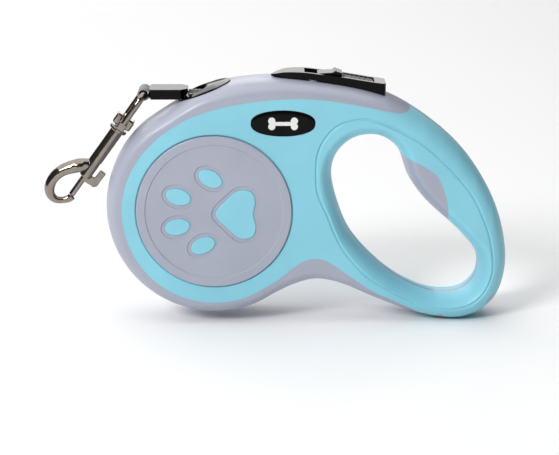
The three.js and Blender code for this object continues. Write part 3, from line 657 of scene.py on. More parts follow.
def finished(piece, name, nodes, body, material, place=LEASH, degrees=32):
    """Shades a piece, puts it in its place in the frame, gives it its material and its body, and
    hides the parts of the frame that it stands for.
    """
    clean(piece)
    piece.name = name
    piece.data.name = name
    choose(piece)
    bpy.ops.object.shade_smooth_by_angle(angle=math.radians(degrees))
    bpy.ops.object.modifier_add(type="WEIGHTED_NORMAL")
    modifier = piece.modifiers[-1]
    modifier.keep_sharp = True
    modifier.weight = 80
    bpy.ops.object.modifier_apply(modifier=modifier.name)
    piece.matrix_world = place
    bpy.ops.object.transform_apply(location=True, rotation=True, scale=True)
    piece.data.materials.clear()
    piece.data.materials.append(material)
    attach(piece, body)
    if nodes:
        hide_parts(*nodes)
    return piece


# ---- Colours and materials ----


def linear(hex_colour):
    """An sRGB hex colour as linear red, green and blue."""
    shares = [int(hex_colour[i : i + 2], 16) / 255 for i in (1, 3, 5)]
    return [s / 12.92 if s <= 0.04045 else ((s + 0.055) / 1.055) ** 2.4 for s in shares]


def rgba(colour, brighter=1.0):
    return (*[min(1, part * brighter) for part in colour[:3]], 1)


def add(tree, kind, inputs, **settings):
    """Adds a node with its settings, and its inputs as values or other nodes' outputs."""
    made = tree.nodes.new(kind)
    for key, value in settings.items():
        setattr(made, key, value)
    for key, value in inputs.items():
        if isinstance(value, bpy.types.NodeSocket):
            tree.links.new(value, made.inputs[key])
        else:
            made.inputs[key].default_value = value
    return made


def per_metre(millimetres):
    """The scale of a pattern whose marks are this far apart."""
    return 1 / (millimetres * MM)


def material_tree(name, **constants):
    """A new material, with its nodes, its shader and the Object coordinates of its piece."""
    material = bpy.data.materials.new(name)
    material.use_nodes = True
    tree = material.node_tree
    tree.nodes.clear()
    shader = add(tree, "ShaderNodeBsdfPrincipled", {})
    for socket, value in constants.items():
        shader.inputs[socket.replace("_", " ")].default_value = value
    add(tree, "ShaderNodeOutputMaterial", {"Surface": shader.outputs["BSDF"]})
    place = add(tree, "ShaderNodeTexCoord", {}).outputs["Object"]
    return material, tree, shader, place


# What a noise looks like: how far apart its marks are in millimetres, its detail, its roughness
Mottle = namedtuple("Mottle", "apart detail rough", defaults=(0.5,))
# A noise seldom goes past these values.
NOISE_REACH = {"From Min": 0.35, "From Max": 0.65}


def mottled(parts, tones, clouds, wear=None, patches=None, grain=None, depth=0):
    """Lets the colour drift between two tones in soft clouds and the roughness change in patches,
    and gives the face a grain of this depth in millimetres."""
    _, tree, shader, place = parts
    fields = {}
    for mottle in (clouds, patches, grain):
        if mottle and mottle not in fields:
            inputs = {"Vector": place, "Scale": per_metre(mottle.apart)}
            inputs |= {"Detail": mottle.detail, "Roughness": mottle.rough}
            fields[mottle] = add(tree, "ShaderNodeTexNoise", inputs).outputs["Fac"]
    share = add(tree, "ShaderNodeMapRange", {"Value": fields[clouds], **NOISE_REACH})
    inputs = {0: share.outputs["Result"], 6: tones[0], 7: tones[1]}
    tone = add(tree, "ShaderNodeMix", inputs, data_type="RGBA")
    tree.links.new(tone.outputs[2], shader.inputs["Base Color"])
    if patches:
        inputs = {"Value": fields[patches], **NOISE_REACH, "To Min": wear[0], "To Max": wear[1]}
        rough = add(tree, "ShaderNodeMapRange", inputs)
        tree.links.new(rough.outputs["Result"], shader.inputs["Roughness"])
    if grain:
        inputs = {"Height": fields[grain], "Distance": depth * MM, "Strength": 1}
        bump = add(tree, "ShaderNodeBump", inputs)
        tree.links.new(bump.outputs["Normal"], shader.inputs["Normal"])


def moulded_abs(name, colour, rough, grain, depth):
    """ABS from a fine spark-eroded mould: a satin face with an even grain, slightly cloudy in
    tone where the melt flowed, and rubbed a little smoother in broad patches."""
    parts = material_tree(name, IOR=1.53)
    tones = rgba(colour, 0.97), rgba(colour, 1.03)
    wear = rough - 0.05, rough + 0.05
    mottled(parts, tones, Mottle(22, 3), wear, Mottle(9, 4), Mottle(grain, 1), depth)
    return parts[0]


def soft_tpr(name, colour):
    """Overmoulded thermoplastic rubber: matt and slightly velvety, with a fine leathery grain
    drawn at 0.5 mm so that it shows."""
    parts = material_tree(name, IOR=1.5, Sheen_Weight=0.12, Sheen_Roughness=0.4)
    tones = rgba(colour, 0.965), rgba(colour, 1.035)
    mottled(parts, tones, Mottle(26, 3), (0.4, 0.5), Mottle(12, 4), Mottle(0.5, 2), 0.012)
    return parts[0]


def polished_black(name, colour, rough):
    """ABS from a polished mould: near black, with a clear gloss that fine handling marks break."""
    parts = material_tree(name, Specular_IOR_Level=0.1)
    tones = rgba(colour), rgba(colour, 1.5)
    wear = rough, rough + 0.08
    mottled(parts, tones, Mottle(6, 3), wear, Mottle(2.5, 5), Mottle(3, 1), 0.01)
    return parts[0]


def plated_metal(name, colour, rough, wave):
    """Die-cast zinc, polished and plated: a mirror with a soft ripple left by the polishing
    wheel, a little duller and browner where it has tarnished."""
    parts = material_tree(name, Metallic=1)
    tones = rgba(colour), rgba(colour, 0.82)
    tarnish = Mottle(4, 4, 0.6)
    mottled(parts, tones, tarnish, (rough, rough + 0.1), tarnish, Mottle(2.4, 2), wave)
    return parts[0]


def natural_nylon(name, colour):
    """Natural nylon, milky and a little waxy, with a faint flow cloud."""
    parts = material_tree(name, Subsurface_Weight=0.15, Subsurface_Radius=(0.002, 0.002, 0.002))
    tones = rgba(colour, 0.94), rgba(colour)
    cloud = Mottle(8, 3)
    mottled(parts, tones, cloud, (0.38, 0.5), cloud, Mottle(0.6, 2), 0.01)
    return parts[0]


def matt_paint(name, colour):
    """Smooth matt paint on a broad board, with a tone that drifts so slowly that it is barely
    seen."""
    parts = material_tree(name, Specular_IOR_Level=0.1, Roughness=0.9)
    mottled(parts, (rgba(colour, 0.985), rgba(colour)), Mottle(400, 2))
    return parts[0]


# The weave, in millimetres
PICK = 0.9
END = 0.75
DASH = 1.8
DASH_GAP = 0.35
THREAD_HALF = 0.4
THREAD_MARGIN = 1.5


def woven_tape(name, yarn, light, along_name=None, thread=None):
    """Flat nylon tape in plain weave: dull yarn with a bright fuzz, and painted shade that darkens
    it where the weave dips. It is drawn a little coarser than real yarn so that it shows. Light
    threads run dashed near both edges."""
    material, tree, shader, place = material_tree(name, Roughness=0.75, Sheen_Weight=0.25)
    parts = add(tree, "ShaderNodeSeparateXYZ", {"Vector": place}).outputs
    if along_name:
        length = add(tree, "ShaderNodeAttribute", {}, attribute_name=along_name).outputs["Fac"]
    else:
        length = parts["X"]
    # Each step works on the results of the steps before it, by their names.
    steps = [
        ("across", "MULTIPLY", parts["Y"], 1 / MM),
        ("length", "MULTIPLY", length, 1 if along_name else 1 / MM),
        ("picks", "DIVIDE", "length", PICK),
        ("ends", "DIVIDE", "across", END),
        ("end_number", "FLOOR", "ends", 0),
        ("odd", "PINGPONG", "end_number", 1),
        ("shift", "MULTIPLY", "odd", 0.5),
        ("shifted", "ADD", "picks", "shift"),
        ("pick_turn", "MULTIPLY", "shifted", math.pi),
        ("pick_wave", "SINE", "pick_turn", 0),
        ("pick_height", "ABSOLUTE", "pick_wave", 0),
        ("end_turn", "MULTIPLY", "ends", math.pi),
        ("end_wave", "SINE", "end_turn", 0),
        ("end_height", "ABSOLUTE", "end_wave", 0),
        ("height", "MULTIPLY", "pick_height", "end_height"),
        ("from_middle", "ABSOLUTE", "across", 0),
        ("from_thread", "SUBTRACT", "from_middle", TAPE_HALF - THREAD_MARGIN),
        ("off_thread", "ABSOLUTE", "from_thread", 0),
        ("on_thread", "LESS_THAN", "off_thread", THREAD_HALF),
        ("dashes", "DIVIDE", "length", DASH),
        ("dash", "FRACT", "dashes", 0),
        ("on_dash", "GREATER_THAN", "dash", DASH_GAP),
        ("shown", "MULTIPLY", "on_thread", "on_dash"),
    ]
    done = {}
    for result, operation, *values in steps:
        inputs = {i: done[v] if isinstance(v, str) else v for i, v in enumerate(values)}
        done[result] = add(tree, "ShaderNodeMath", inputs, operation=operation).outputs[0]

    inputs = {"Vector": place, "Scale": per_metre(0.35), "Detail": 3}
    fuzz = add(tree, "ShaderNodeTexNoise", inputs).outputs["Fac"]
    inputs = {"Value": fuzz, **NOISE_REACH}
    worn = add(tree, "ShaderNodeMapRange", inputs).outputs["Result"]
    # Where the weave dips, the yarn is darkened to 0.35 of its tone: painted shade in the dips.
    layers = [(worn, rgba(yarn), rgba(light)), (done["height"], rgba(yarn, 0.35), None)]
    if thread:
        layers.append((done["shown"], None, rgba(thread)))
    cloth = None
    for share, low, high in layers:
        inputs = {0: share, 6: low or cloth, 7: high or cloth}
        cloth = add(tree, "ShaderNodeMix", inputs, data_type="RGBA").outputs[2]
    tree.links.new(cloth, shader.inputs["Base Color"])
    bump = {"Height": done["height"], "Distance": 0.18 * MM, "Strength": 1}
    tree.links.new(add(tree, "ShaderNodeBump", bump).outputs["Normal"], shader.inputs["Normal"])
    return material


FINISHES = {}


def finish(name):
    """A material of the leash, made from the scene's colours the first time it is asked for."""
    if name not in FINISHES:
        colours = bpy.context.scene.leash_colours
        makers = {
            "grey_abs": lambda: moulded_abs(name, colours.grey, 0.36, 0.45, 0.008),
            "blue_tpr": lambda: soft_tpr(name, colours.blue),
            "black_gloss": lambda: polished_black(name, colours.black, 0.06),
            "black_satin": lambda: polished_black(name, colours.black, 0.3),
            "white_print": lambda: moulded_abs(name, colours.print_white, 0.3, 0.5, 0.003),
            "nickel": lambda: plated_metal(name, colours.nickel, 0.08, 0.03),
            "steel": lambda: plated_metal(name, colours.steel, 0.25, 0.01),
            "nylon": lambda: natural_nylon(name, colours.nylon),
            "tape_black": lambda: woven_tape(
                name, colours.tape, colours.tape_light, "along", colours.thread
            ),
            "tape_grey": lambda: woven_tape(name, colours.loop, colours.thread, "along"),
            "tape_wound": lambda: woven_tape(name, colours.tape, colours.tape_light),
            "floor": lambda: matt_paint(name, colours.floor),
        }
        FINISHES[name] = makers[name]()
    return FINISHES[name]


# ---- Sizes and colours that a user may change ----


def colour_property(name, description, hex_colour):
    return bpy.props.FloatVectorProperty(
        name=name,
        description=description,
        default=linear(hex_colour),
        subtype="COLOR",
        min=0,
        max=1,
    )


def size_property(name, description, millimetres):
    return bpy.props.FloatProperty(
        name=name,
        description=description,
        default=millimetres * MM,
        min=0,
        unit="LENGTH",
        precision=5,
    )


class LeashSizes(bpy.types.PropertyGroup):
    """Small sizes of the leash's finish, which the frame leaves open."""

    groove_width: size_property("Groove", "Thickness of the wire that cuts the groove", 1.6)
    ring_radius: size_property("Disc step", "Radius of the step in the side disc", 30.4)
    step_depth: size_property("Step depth", "Depth of the steps in the side disc", 0.42)
    moat_width: size_property("Paw margin", "Width of the sunk margin round each pad", 1.5)
    bone_length: size_property("Bone", "Length of the bone on the badge", 13)


class LeashColours(bpy.types.PropertyGroup):
    """Colours of the leash and of the stage."""

    grey: colour_property("Grey", "The hard shells and the side discs", "#A9ADBD")
    blue: colour_property("Blue", "The soft overmould and the paw pads", "#8BD2E4")
    black: colour_property("Black", "Brake, mouth, stop and badge", "#070708")
    print_white: colour_property("Print", "The bone on the badge", "#E9EAEA")
    nickel: colour_property("Nickel", "The snap", "#978E85")
    steel: colour_property("Steel", "Screws, pins and springs", "#B5B6B8")
    nylon: colour_property("Nylon", "The reel and the pawl", "#DDDDD8")
    tape: colour_property("Tape", "The tape's yarn", "#141416")
    tape_light: colour_property("Tape highlight", "Worn yarn of the tape", "#2C2C30")
    loop: colour_property("Loop", "The loop that holds the snap", "#8E9094")
    thread: colour_property("Thread", "Light threads in the tape", "#D8DADC")
    floor: colour_property("Floor", "The floor of the stage", "#FDFDFD")


class LeashStage(bpy.types.PropertyGroup):
    """Camera and lights."""

    distance: bpy.props.FloatProperty(
        name="Distance",
        description="From the reel's axis to the camera, along the ground",
        default=0.7373,
        unit="LENGTH",
    )
    elevation: bpy.props.FloatProperty(
        name="Elevation",
        description="How steeply the camera looks down",
        default=math.radians(16.2),
        subtype="ANGLE",
    )
    key_power: bpy.props.FloatProperty(
        name="Key light", description="Power of the key light in watts", default=17
    )
    fill_power: bpy.props.FloatProperty(
        name="Fill light", description="Power of the fill light in watts", default=0.3
    )
    top_power: bpy.props.FloatProperty(
        name="Top light", description="Power of the overhead light in watts", default=40
    )
    back_power: bpy.props.FloatProperty(
        name="Back light", description="Power of the light behind in watts", default=17
    )
    sky: bpy.props.FloatProperty(
        name="Sky", description="Strength of the even light all round", default=0.06
    )


# ---- Housing ----


def pillow(start, half, shoulder, past=0):
    """The left half of the housing, from the outline moved in by start. A space that is cut out
    starts past the parting plane."""
    rings = []
    for height, run in rounding(SHOULDER_POWER):
        y = -PARTING - (half - PARTING) * height
        ring = inset(OUTLINE, lambda x, run=run: start(x) + shoulder(x) * run)
        rings.append(level(ring, y))
    if past:
        rings.insert(0, level([(x, z) for x, _, z in rings[0]], past))
    return thinned(loft(rings))


def trumpet(grow, half):
    """The space of the finger hole in the left half, larger all round by grow."""
    rings = []
    for height, run in rounding(HOLE_POWER):
        y = -PARTING - (half - PARTING) * height
        rings.append(level(inset(HOLE, -grow - HOLE_SHOULDER * run), y))
    rings.insert(0, level([(x, z) for x, _, z in rings[0]], 1))
    rings.append(level([(x, z) for x, _, z in rings[-1]], -half - PAST))
    return thinned(loft(rings))


def thinned(body):
    """The body with its handle thinned. Its face is first cut across, so that it can bend."""
    choose(body)
    bpy.ops.object.mode_set(mode="EDIT")
    for x in range(TAPER_START, int(HANDLE_REACH), 8):
        bpy.ops.mesh.select_all(action="SELECT")
        bpy.ops.mesh.bisect(plane_co=(x, 0, 0), plane_no=(1, 0, 0))
    bpy.ops.object.mode_set(mode="OBJECT")
    for vertex in body.data.vertices:
        vertex.co.y *= half_at(vertex.co.x) / BODY_HALF
    return body


def mouth_column(room):
    """The oval column that the mouth guide fills, square to the slope of the housing."""
    choose()
    reach = 12
    bpy.ops.mesh.primitive_cylinder_add(
        vertices=96, radius=1, depth=MOUTH_DEPTH + reach + 2 * room
    )
    column = bpy.context.object
    turn = Matrix.Rotation(-MOUTH_SLOPE, 4, "Y")
    rise = Matrix.Translation((0, 0, (reach - MOUTH_DEPTH) / 2))
    size = Matrix.Diagonal((MOUTH_HALF_LENGTH + room, MOUTH_HALF_WIDTH + room, 1, 1))
    column.matrix_world = Matrix.Translation((MOUTH_X, 0, MOUTH_Z)) @ turn @ rise @ size
    bpy.ops.object.transform_apply(location=True, rotation=True, scale=True)
    return column


BEZEL_HALF_WIDTH = BEZEL_HIGH.y
BEZEL_TOP = smooth(
    [
        (BEZEL_LOW.x, BODY_RADIUS + 10.8),
        (BEZEL_LOW.x + 5.6, BODY_RADIUS + 12.3),
        above(39.5, 12.5),
        above(46.7, 11.7),
        above(56.8, 10.4),
        above(70.6, 8.1),
        (BEZEL_HIGH.x, BODY_RADIUS + 7.4),
    ],
    28,
    closed=False,
)
BEZEL_FOOT = smooth(
    [
        (BEZEL_HIGH.x, BODY_RADIUS + 2.2),
        above(66, 5.2),
        above(50, 8.2),
        above(38, 9.7),
        (BEZEL_LOW.x, BODY_RADIUS + 9.9),
    ],
    20,
    closed=False,
)


def boat(grow, low, high):
    """A column whose plan is the boat shape of the brake's bezel."""
    half = BEZEL_HALF_WIDTH + grow
    front, back = BEZEL_LOW.x - grow, BEZEL_HIGH.x + grow
    side = smooth(
        [
            (front, 0),
            (front + 2, -half * 0.42),
            (front + 6, -half * 0.74),
            (front + 13, -half * 0.95),
            (front + 22, -half),
        ],
        20,
        closed=False,
    )
    corner = arc(2, -90, 0, 5, back - 2, -half + 2)
    right = [*side, *corner]
    ring = [*right, *[(x, -y) for x, y in reversed(right[1:])]]
    return loft([[(x, y, low) for x, y in ring], [(x, y, high) for x, y in ring]])


def bezel_seat():
    profile = [
        *[(x, z - SEAT_GAP) for x, z in BEZEL_FOOT],
        (BEZEL_LOW.x - 2, BODY_RADIUS + 9.6),
        (BEZEL_LOW.x - 2, HIGH),
        (BEZEL_HIGH.x + 2, HIGH),
        (BEZEL_HIGH.x + 2, BODY_RADIUS + 2.2),
    ]
    seat = slab(profile, BEZEL_HALF_WIDTH + 2, -BEZEL_HALF_WIDTH - 2)
    return combine(seat, boat(SEAT_GAP, BODY_RADIUS, HIGH), operation="INTERSECT")


def badge_ring(grow, count=32):
    half = (BADGE_HIGH.x - BADGE_LOW.x) / 2 + grow
    rise = (BADGE_HIGH.z - BADGE_LOW.z) / 2 + grow
    x0 = (BADGE_HIGH.x + BADGE_LOW.x) / 2
    z0 = (BADGE_HIGH.z + BADGE_LOW.z) / 2
    ring = []
    for sign in (1, -1):
        for i in range(count):
            a = math.pi * i / count
            ring.append(
                (x0 - sign * half * math.cos(a), z0 - sign * rise * math.sin(a) ** BADGE_ENDS)
            )
    return ring


SCREW_SPOTS = [span(f"screw_{i}") for i in (1, 2, 3, 4)]
SCREW_SPOTS = [((low.x + high.x) / 2, (low.z + high.z) / 2) for low, high in SCREW_SPOTS]


class LEASH_OT_housing(bpy.types.Operator):
    """Builds the two shells and the two soft overmoulds"""

    bl_idname = "leash.housing"
    bl_label = "Housing"

    def execute(self, context):
        sizes = context.scene.leash_sizes
        outer = combine(pillow(lambda x: 0, BODY_HALF, shoulder_at), trumpet(0, BODY_HALF))

        def under(room):
            deep = SKIN + room
            body = pillow(lambda x: deep, BODY_HALF - deep, shoulder_at)
            return combine(body, trumpet(deep, BODY_HALF - deep))

        def region(grow):
            far = -BODY_HALF - 3
            skin = slab(inset(SKIN_REGION, -grow), -SEAM + grow, far)
            for patch in [GRIP_PATCH, *[oval(*spot) for spot in BARE_SPOTS]]:
                combine(skin, slab(inset(patch, grow), 1, far - 1))
            return skin

        mouth_ends = (mouth_column(SEAT_GAP), bezel_seat())

        skin = combine(copy_of(outer), under(0))
        combine(skin, region(0), operation="INTERSECT")
        # The disc's seat in the skin: a fine gap at its foot, then a ledge and a bevelled lip
        seat = [
            (DISC_RADIUS + 0.05, 0),
            (DISC_RADIUS + 0.05, -BODY_HALF + 0.8),
            (DISC_RADIUS + 0.35, -BODY_HALF + 0.75),
            (DISC_RADIUS + 0.35, -BODY_HALF + 0.35),
            (DISC_RADIUS + 0.8, -BODY_HALF - 0.02),
            (DISC_RADIUS + 0.8, -BODY_HALF - PAST),
        ]
        combine(skin, loft([circle(radius, y) for radius, y in seat]))
        combine(skin, slab(badge_ring(0.2), 0, -BODY_HALF - 3))
        combine(skin, *[copy_of(tool) for tool in mouth_ends])
        combine(skin, self.groove(outer, sizes.groove_width / MM / 2))

        shell = combine(outer, combine(region(BOND_GAP), under(BOND_GAP)))
        cavity = pillow(wall_at, CAVITY_HALF, lambda x: BODY_SHOULDER - 2.8, past=0.5)
        combine(cavity, trumpet(SKIN + RIM_WALL - 0.4, CAVITY_HALF))
        combine(shell, cavity)
        plate_room = cross_rod(
            0, 0, DISC_RADIUS + SEAT_GAP, -BODY_HALF - PAST, PLATE_HIGH.y + 0.2, ROUND_SIDES
        )
        low = LOCK_LOW.z - BUTTON_TRAVEL - RUNNING
        well = block(
            (BUTTON_LOW.x - RUNNING, -WINDOW_HALF_WIDTH, BODY_RADIUS - PAST),
            (BUTTON_HIGH.x + RUNNING, WINDOW_HALF_WIDTH, HIGH),
        )
        pocket = block(
            (LOCK_ROOM, -WINDOW_HALF_WIDTH, low),
            (BUTTON_HIGH.x, WINDOW_HALF_WIDTH, HIGH),
        )
        combine(shell, well, pocket, plate_room, *mouth_ends)

        right_shell = mirrored(shell)
        right_skin = mirrored(skin)
        for x, z in SCREW_SPOTS:
            hole = cross_rod(x, z, SCREW_HEAD_RADIUS + 0.25, SCREW_SEAT, BODY_HALF + PAST, 40)
            combine(right_shell, copy_of(hole))
            combine(right_skin, hole)
        for piece, name in ((shell, "left_shell"), (right_shell, "right_shell")):
            finished(piece, f"{name}_moulded", [name], "housing", finish("grey_abs"))
        for piece, name in ((skin, "left_overmould"), (right_skin, "right_overmould")):
            finished(piece, f"{name}_soft", [name], "housing", finish("blue_tpr"))
        return {"FINISHED"}

    def groove(self, outer, radius):
        """A wire laid along the groove, so high that it cuts a shallow trough."""
        line = []
        for x, z in GROOVE:
            hit, spot, _, _ = outer.ray_cast((x, -BODY_HALF - 5, z), (0, 1, 0))
            if not hit:
                raise RuntimeError("the groove runs off the housing")
            line.append(spot - Vector((0, radius * GROOVE_LIFT, 0)))
        return tube(line, radius, closed=True, sides=6)


# ---- Side discs, paw plates and badges ----


def circle(radius, y, sides=ROUND_SIDES):
    return level(arc(radius, 0, 360 - 360 / sides, sides - 1), y)


class LEASH_OT_side_discs(bpy.types.Operator):
    """Builds the grey discs and the paw plates behind them"""

    bl_idname = "leash.side_discs"
    bl_label = "Side discs"

    def execute(self, context):
        sizes = context.scene.leash_sizes
        step = sizes.step_depth / MM
        ring = sizes.ring_radius / MM
        moat = sizes.moat_width / MM
        face = -DISC_FACE
        sunk = face + step
        disc = loft(
            [
                circle(DISC_RADIUS, -DISC_BACK),
                circle(DISC_RADIUS, face + 0.5),
                circle(DISC_RADIUS - 0.07, face + 0.25),
                circle(DISC_RADIUS - 0.25, face + 0.07),
                circle(DISC_RADIUS - 0.5, face),
                circle(ring + 0.45, face),
                circle(ring + 0.3, face + 0.04),
                circle(ring, sunk - 0.04),
                circle(ring - 0.15, sunk),
            ]
        )
        for small, mid, wide in zip(pads(moat), pads(moat + 0.1), pads(moat + 0.35)):
            floor = sunk + step
            cutter = loft(
                [
                    level(small, floor),
                    level(mid, floor - 0.04),
                    level(wide, sunk - 0.02),
                    level(wide, face - 1),
                ]
            )
            combine(disc, cutter)
        for outline in pads(0.08):
            combine(disc, slab(outline, -DISC_BACK + 1, face - 1))

        pad_face = PLATE_LOW.y
        plate = loft(
            [
                circle(DISC_RADIUS - 2, PLATE_HIGH.y),
                circle(DISC_RADIUS - 2, -DISC_BACK + 0.25),
            ]
        )
        levels = [(0, 0.5), (0.06, 0.28), (0.25, 0.1), (0.6, 0.02), (1.1, 0)]
        for rings in zip(*[pads(-shrink) for shrink, _ in levels]):
            pad = [level(rings[0], PLATE_HIGH.y - 0.3)]
            pad += [level(r, pad_face + drop) for r, (_, drop) in zip(rings, levels)]
            unite(plate, loft(pad))
        for source, name, kind in ((disc, "disc", "grey_abs"), (plate, "paw_plate", "blue_tpr")):
            twin = mirrored(source)
            for piece, side in ((source, "left"), (twin, "right")):
                node = f"{side}_{name}"
                finished(piece, f"{node}_moulded", [node], "housing", finish(kind))
        return {"FINISHED"}


BONE_HALF_HEIGHT = 0.85
BONE_PROUD = 0.07
BONE_FOOT = 0.3
KNOB_SHARE = 0.24


class LEASH_OT_badges(bpy.types.Operator):
    """Builds the domed black badges, each with a plain bone"""

    bl_idname = "leash.badges"
    bl_label = "Badges"

    def execute(self, context):
        top = BADGE_LOW.y
        levels = [(0, 0.55), (-0.15, 0.38), (-0.5, 0.24), (-1.1, 0.13), (-2, 0.05), (-3.2, 0)]
        rings = [level(badge_ring(0), BADGE_HIGH.y)]
        rings += [level(badge_ring(grow), top + drop) for grow, drop in levels]
        badge = loft(rings)
        x0 = (BADGE_HIGH.x + BADGE_LOW.x) / 2
        z0 = (BADGE_HIGH.z + BADGE_LOW.z) / 2
        half = context.scene.leash_sizes.bone_length / MM / 2
        knob = half * KNOB_SHARE
        far, near = top + BONE_FOOT, top - BONE_PROUD
        bone = block(
            (x0 - half + knob, far, z0 - BONE_HALF_HEIGHT),
            (x0 + half - knob, near, z0 + BONE_HALF_HEIGHT),
        )
        for side in (-1, 1):
            for up in (-1, 1):
                spot = (x0 + side * (half - knob), z0 + up * knob * 0.8)
                unite(bone, cross_rod(*spot, knob, near, far, 32))
        for source, name, kind, slot in (
            (badge, "badge", "black_gloss", "black_gloss"),
            (bone, "badge_bone", "white_print", "nylon"),
        ):
            twin = mirrored(source)
            for piece, side in ((source, "left"), (twin, "right")):
                node = [f"{side}_badge"] if name == "badge" else []
                finished(piece, f"{side}_{name}_inlay", node, "housing", finish(kind))
        return {"FINISHED"}


# ---- Mouth guide ----


class LEASH_OT_mouth_guide(bpy.types.Operator):
    """Builds the glossy guide that the tape runs out through"""

    bl_idname = "leash.mouth_guide"
    bl_label = "Mouth guide"

    def execute(self, context):
        rings = []
        for sign in (-1, 1):
            half_rings = []
            for height, run in rounding(SHOULDER_POWER, 8):
                y = sign * BODY_HALF * height
                ring = inset(OUTLINE, lambda x, run=run: -MOUTH_PROUD + shoulder_at(x) * run)
                half_rings.append(level(ring, y))
            rings += reversed(half_rings) if sign < 0 else half_rings[1:]
        guide = loft(rings)
        combine(guide, mouth_column(0), operation="INTERSECT")
        slot_half = TAPE_HALF + 1
        combine(
            guide,
            block(
                (STOP_LOW.x, -slot_half, TAPE_LOW.z - 1),
                (MOUTH_X + MOUTH_HALF_LENGTH + 8, slot_half, TAPE_HIGH.z + 1),
            ),
        )
        # The slot opens into an oval bowl, which widens towards the top.
        bowl_x = MOUTH_X - 8.8
        scoop = []
        for z, long, wide in (
            (TAPE_LOW.z - 1, 8.4, 7.3),
            (TAPE_Z, 9.1, 8.2),
            (TAPE_Z + 2, 10, 9.3),
            (TAPE_Z + 5, 10.7, 10.2),
            (TAPE_Z + 10, 11.2, 10.8),
        ):
            plan = oval((bowl_x, 0), long, wide, 0, 64)
            scoop.append([(x, y, z) for x, y in plan])
        combine(guide, loft(scoop))
        bevel(guide, 0.25)
        finished(
            guide,
            "mouth_guide_polished",
            ["mouth_guide"],
            "housing",
            finish("black_gloss"),
        )
        return {"FINISHED"}


# ---- Brake ----


RIBS = 5
RIB_START = 3.6
RIB_PITCH = 2
RIB_RADIUS = 0.45
RIB_SUNK = 0.1
RIB_MARGIN = 0.8


class LEASH_OT_brake(bpy.types.Operator):
    """Builds the bezel, the button and the lock on top of the housing"""

    bl_idname = "leash.brake"
    bl_label = "Brake"

    def execute(self, context):
        satin = finish("black_satin")
        gloss = finish("black_gloss")
        bezel = slab([*BEZEL_TOP, *BEZEL_FOOT], BEZEL_HALF_WIDTH + 1, -BEZEL_HALF_WIDTH - 1)
        combine(bezel, boat(0, BODY_RADIUS, HIGH), operation="INTERSECT")
        recess_front = 39.5
        recess = [
            above(recess_front, 13),
            above(recess_front + 2.6, 10.6),
            above(BUTTON_LOW.x, 10.6),
            above(BUTTON_LOW.x, 13),
        ]
        combine(
            bezel,
            block(
                (LOCK_ROOM, -WINDOW_HALF_WIDTH, BODY_RADIUS),
                (BUTTON_HIGH.x + RUNNING, WINDOW_HALF_WIDTH, HIGH),
            ),
            slab(recess, WINDOW_HALF_WIDTH, -WINDOW_HALF_WIDTH),
        )
        bevel(bezel, 0.6, segments=3)
        finished(bezel, "brake_bezel_moulded", ["brake_bezel"], "housing", gloss)

        half = BUTTON_HIGH.y
        deck = LOCK_LOW.z - 0.3
        back = BUTTON_HIGH.x
        lock_back = LOCK_HIGH.x
        sunk = 0.8
        button = slab(
            [
                (BUTTON_LOW.x, deck),
                (lock_back + 0.4, deck),
                (lock_back + 1.4, deck - sunk),
                (back, BODY_RADIUS + 7.6),
                (back, BODY_RADIUS + 5.4),
                (lock_back, BODY_RADIUS + 6.8),
                (BUTTON_LOW.x, BODY_RADIUS + 6.8),
            ],
            half,
            -half,
        )
        bevel(button, 0.3)
        drop = (deck - sunk - BODY_RADIUS - 7.6) / (back - lock_back - 1.4)
        for i in range(RIBS):
            x = lock_back + RIB_START + i * RIB_PITCH
            z = deck - sunk - (x - lock_back - 1.4) * drop
            rib = slab(
                arc(RIB_RADIUS, 0, 330, 11, x, z - RIB_SUNK), half - RIB_MARGIN, -half + RIB_MARGIN
            )
            unite(button, rib)
        stem = block((BUTTON_LOW.x, -3, BUTTON_LOW.z), (BUTTON_LOW.x + 3, 3, BODY_RADIUS + 7))
        unite(button, stem)
        finished(button, "brake_button_moulded", ["brake_button"], "button", satin)

        front, foot, top = LOCK_LOW.x, LOCK_LOW.z, LOCK_HIGH.z
        ridge = lock_back - 3.1
        lock = slab(
            [
                (front, foot),
                (lock_back, foot),
                *arc(0.5, 0, 60, 3, lock_back - 0.5, foot + 0.4),
                (ridge + 1.1, top - 0.35),
                *arc(0.7, 30, 150, 6, ridge, top - 0.7),
                (ridge - 1.4, top - 0.75),
                (ridge - 3.2, foot + 1.05),
                (front + 1.4, foot + 0.9),
                *arc(0.35, 120, 180, 3, front + 0.35, foot + 0.4),
            ],
            half,
            -half,
        )
        bevel(lock, 0.22)
        finished(lock, "lock_slider_moulded", ["lock_slider"], "lock", gloss)
        return {"FINISHED"}


# ---- Tape, stop and loop ----


def strap(path, half_width, thickness):
    """A flat woven strap with soft edges, along a line of (x, z) points."""
    section = []
    edge = thickness / 2
    for side in (1, -1):
        for a in (-90, -45, 0, 45, 90):
            t = math.radians(a)
            section.append(
                (side * (half_width - edge + edge * math.cos(t)), side * edge * math.sin(t))
            )
    rings, marks, far = [], [], 0.0
    for i, point in enumerate(path):
        here = Vector(point)
        before = Vector(path[max(i - 1, 0)])
        after = Vector(path[min(i + 1, len(path) - 1)])
        run = (after - before).normalized()
        if i:
            far += (here - before).length
        rings.append([(here.x - run.y * t, y, here.y + run.x * t) for y, t in section])
        marks.append(far)
    return loft(rings, marks)


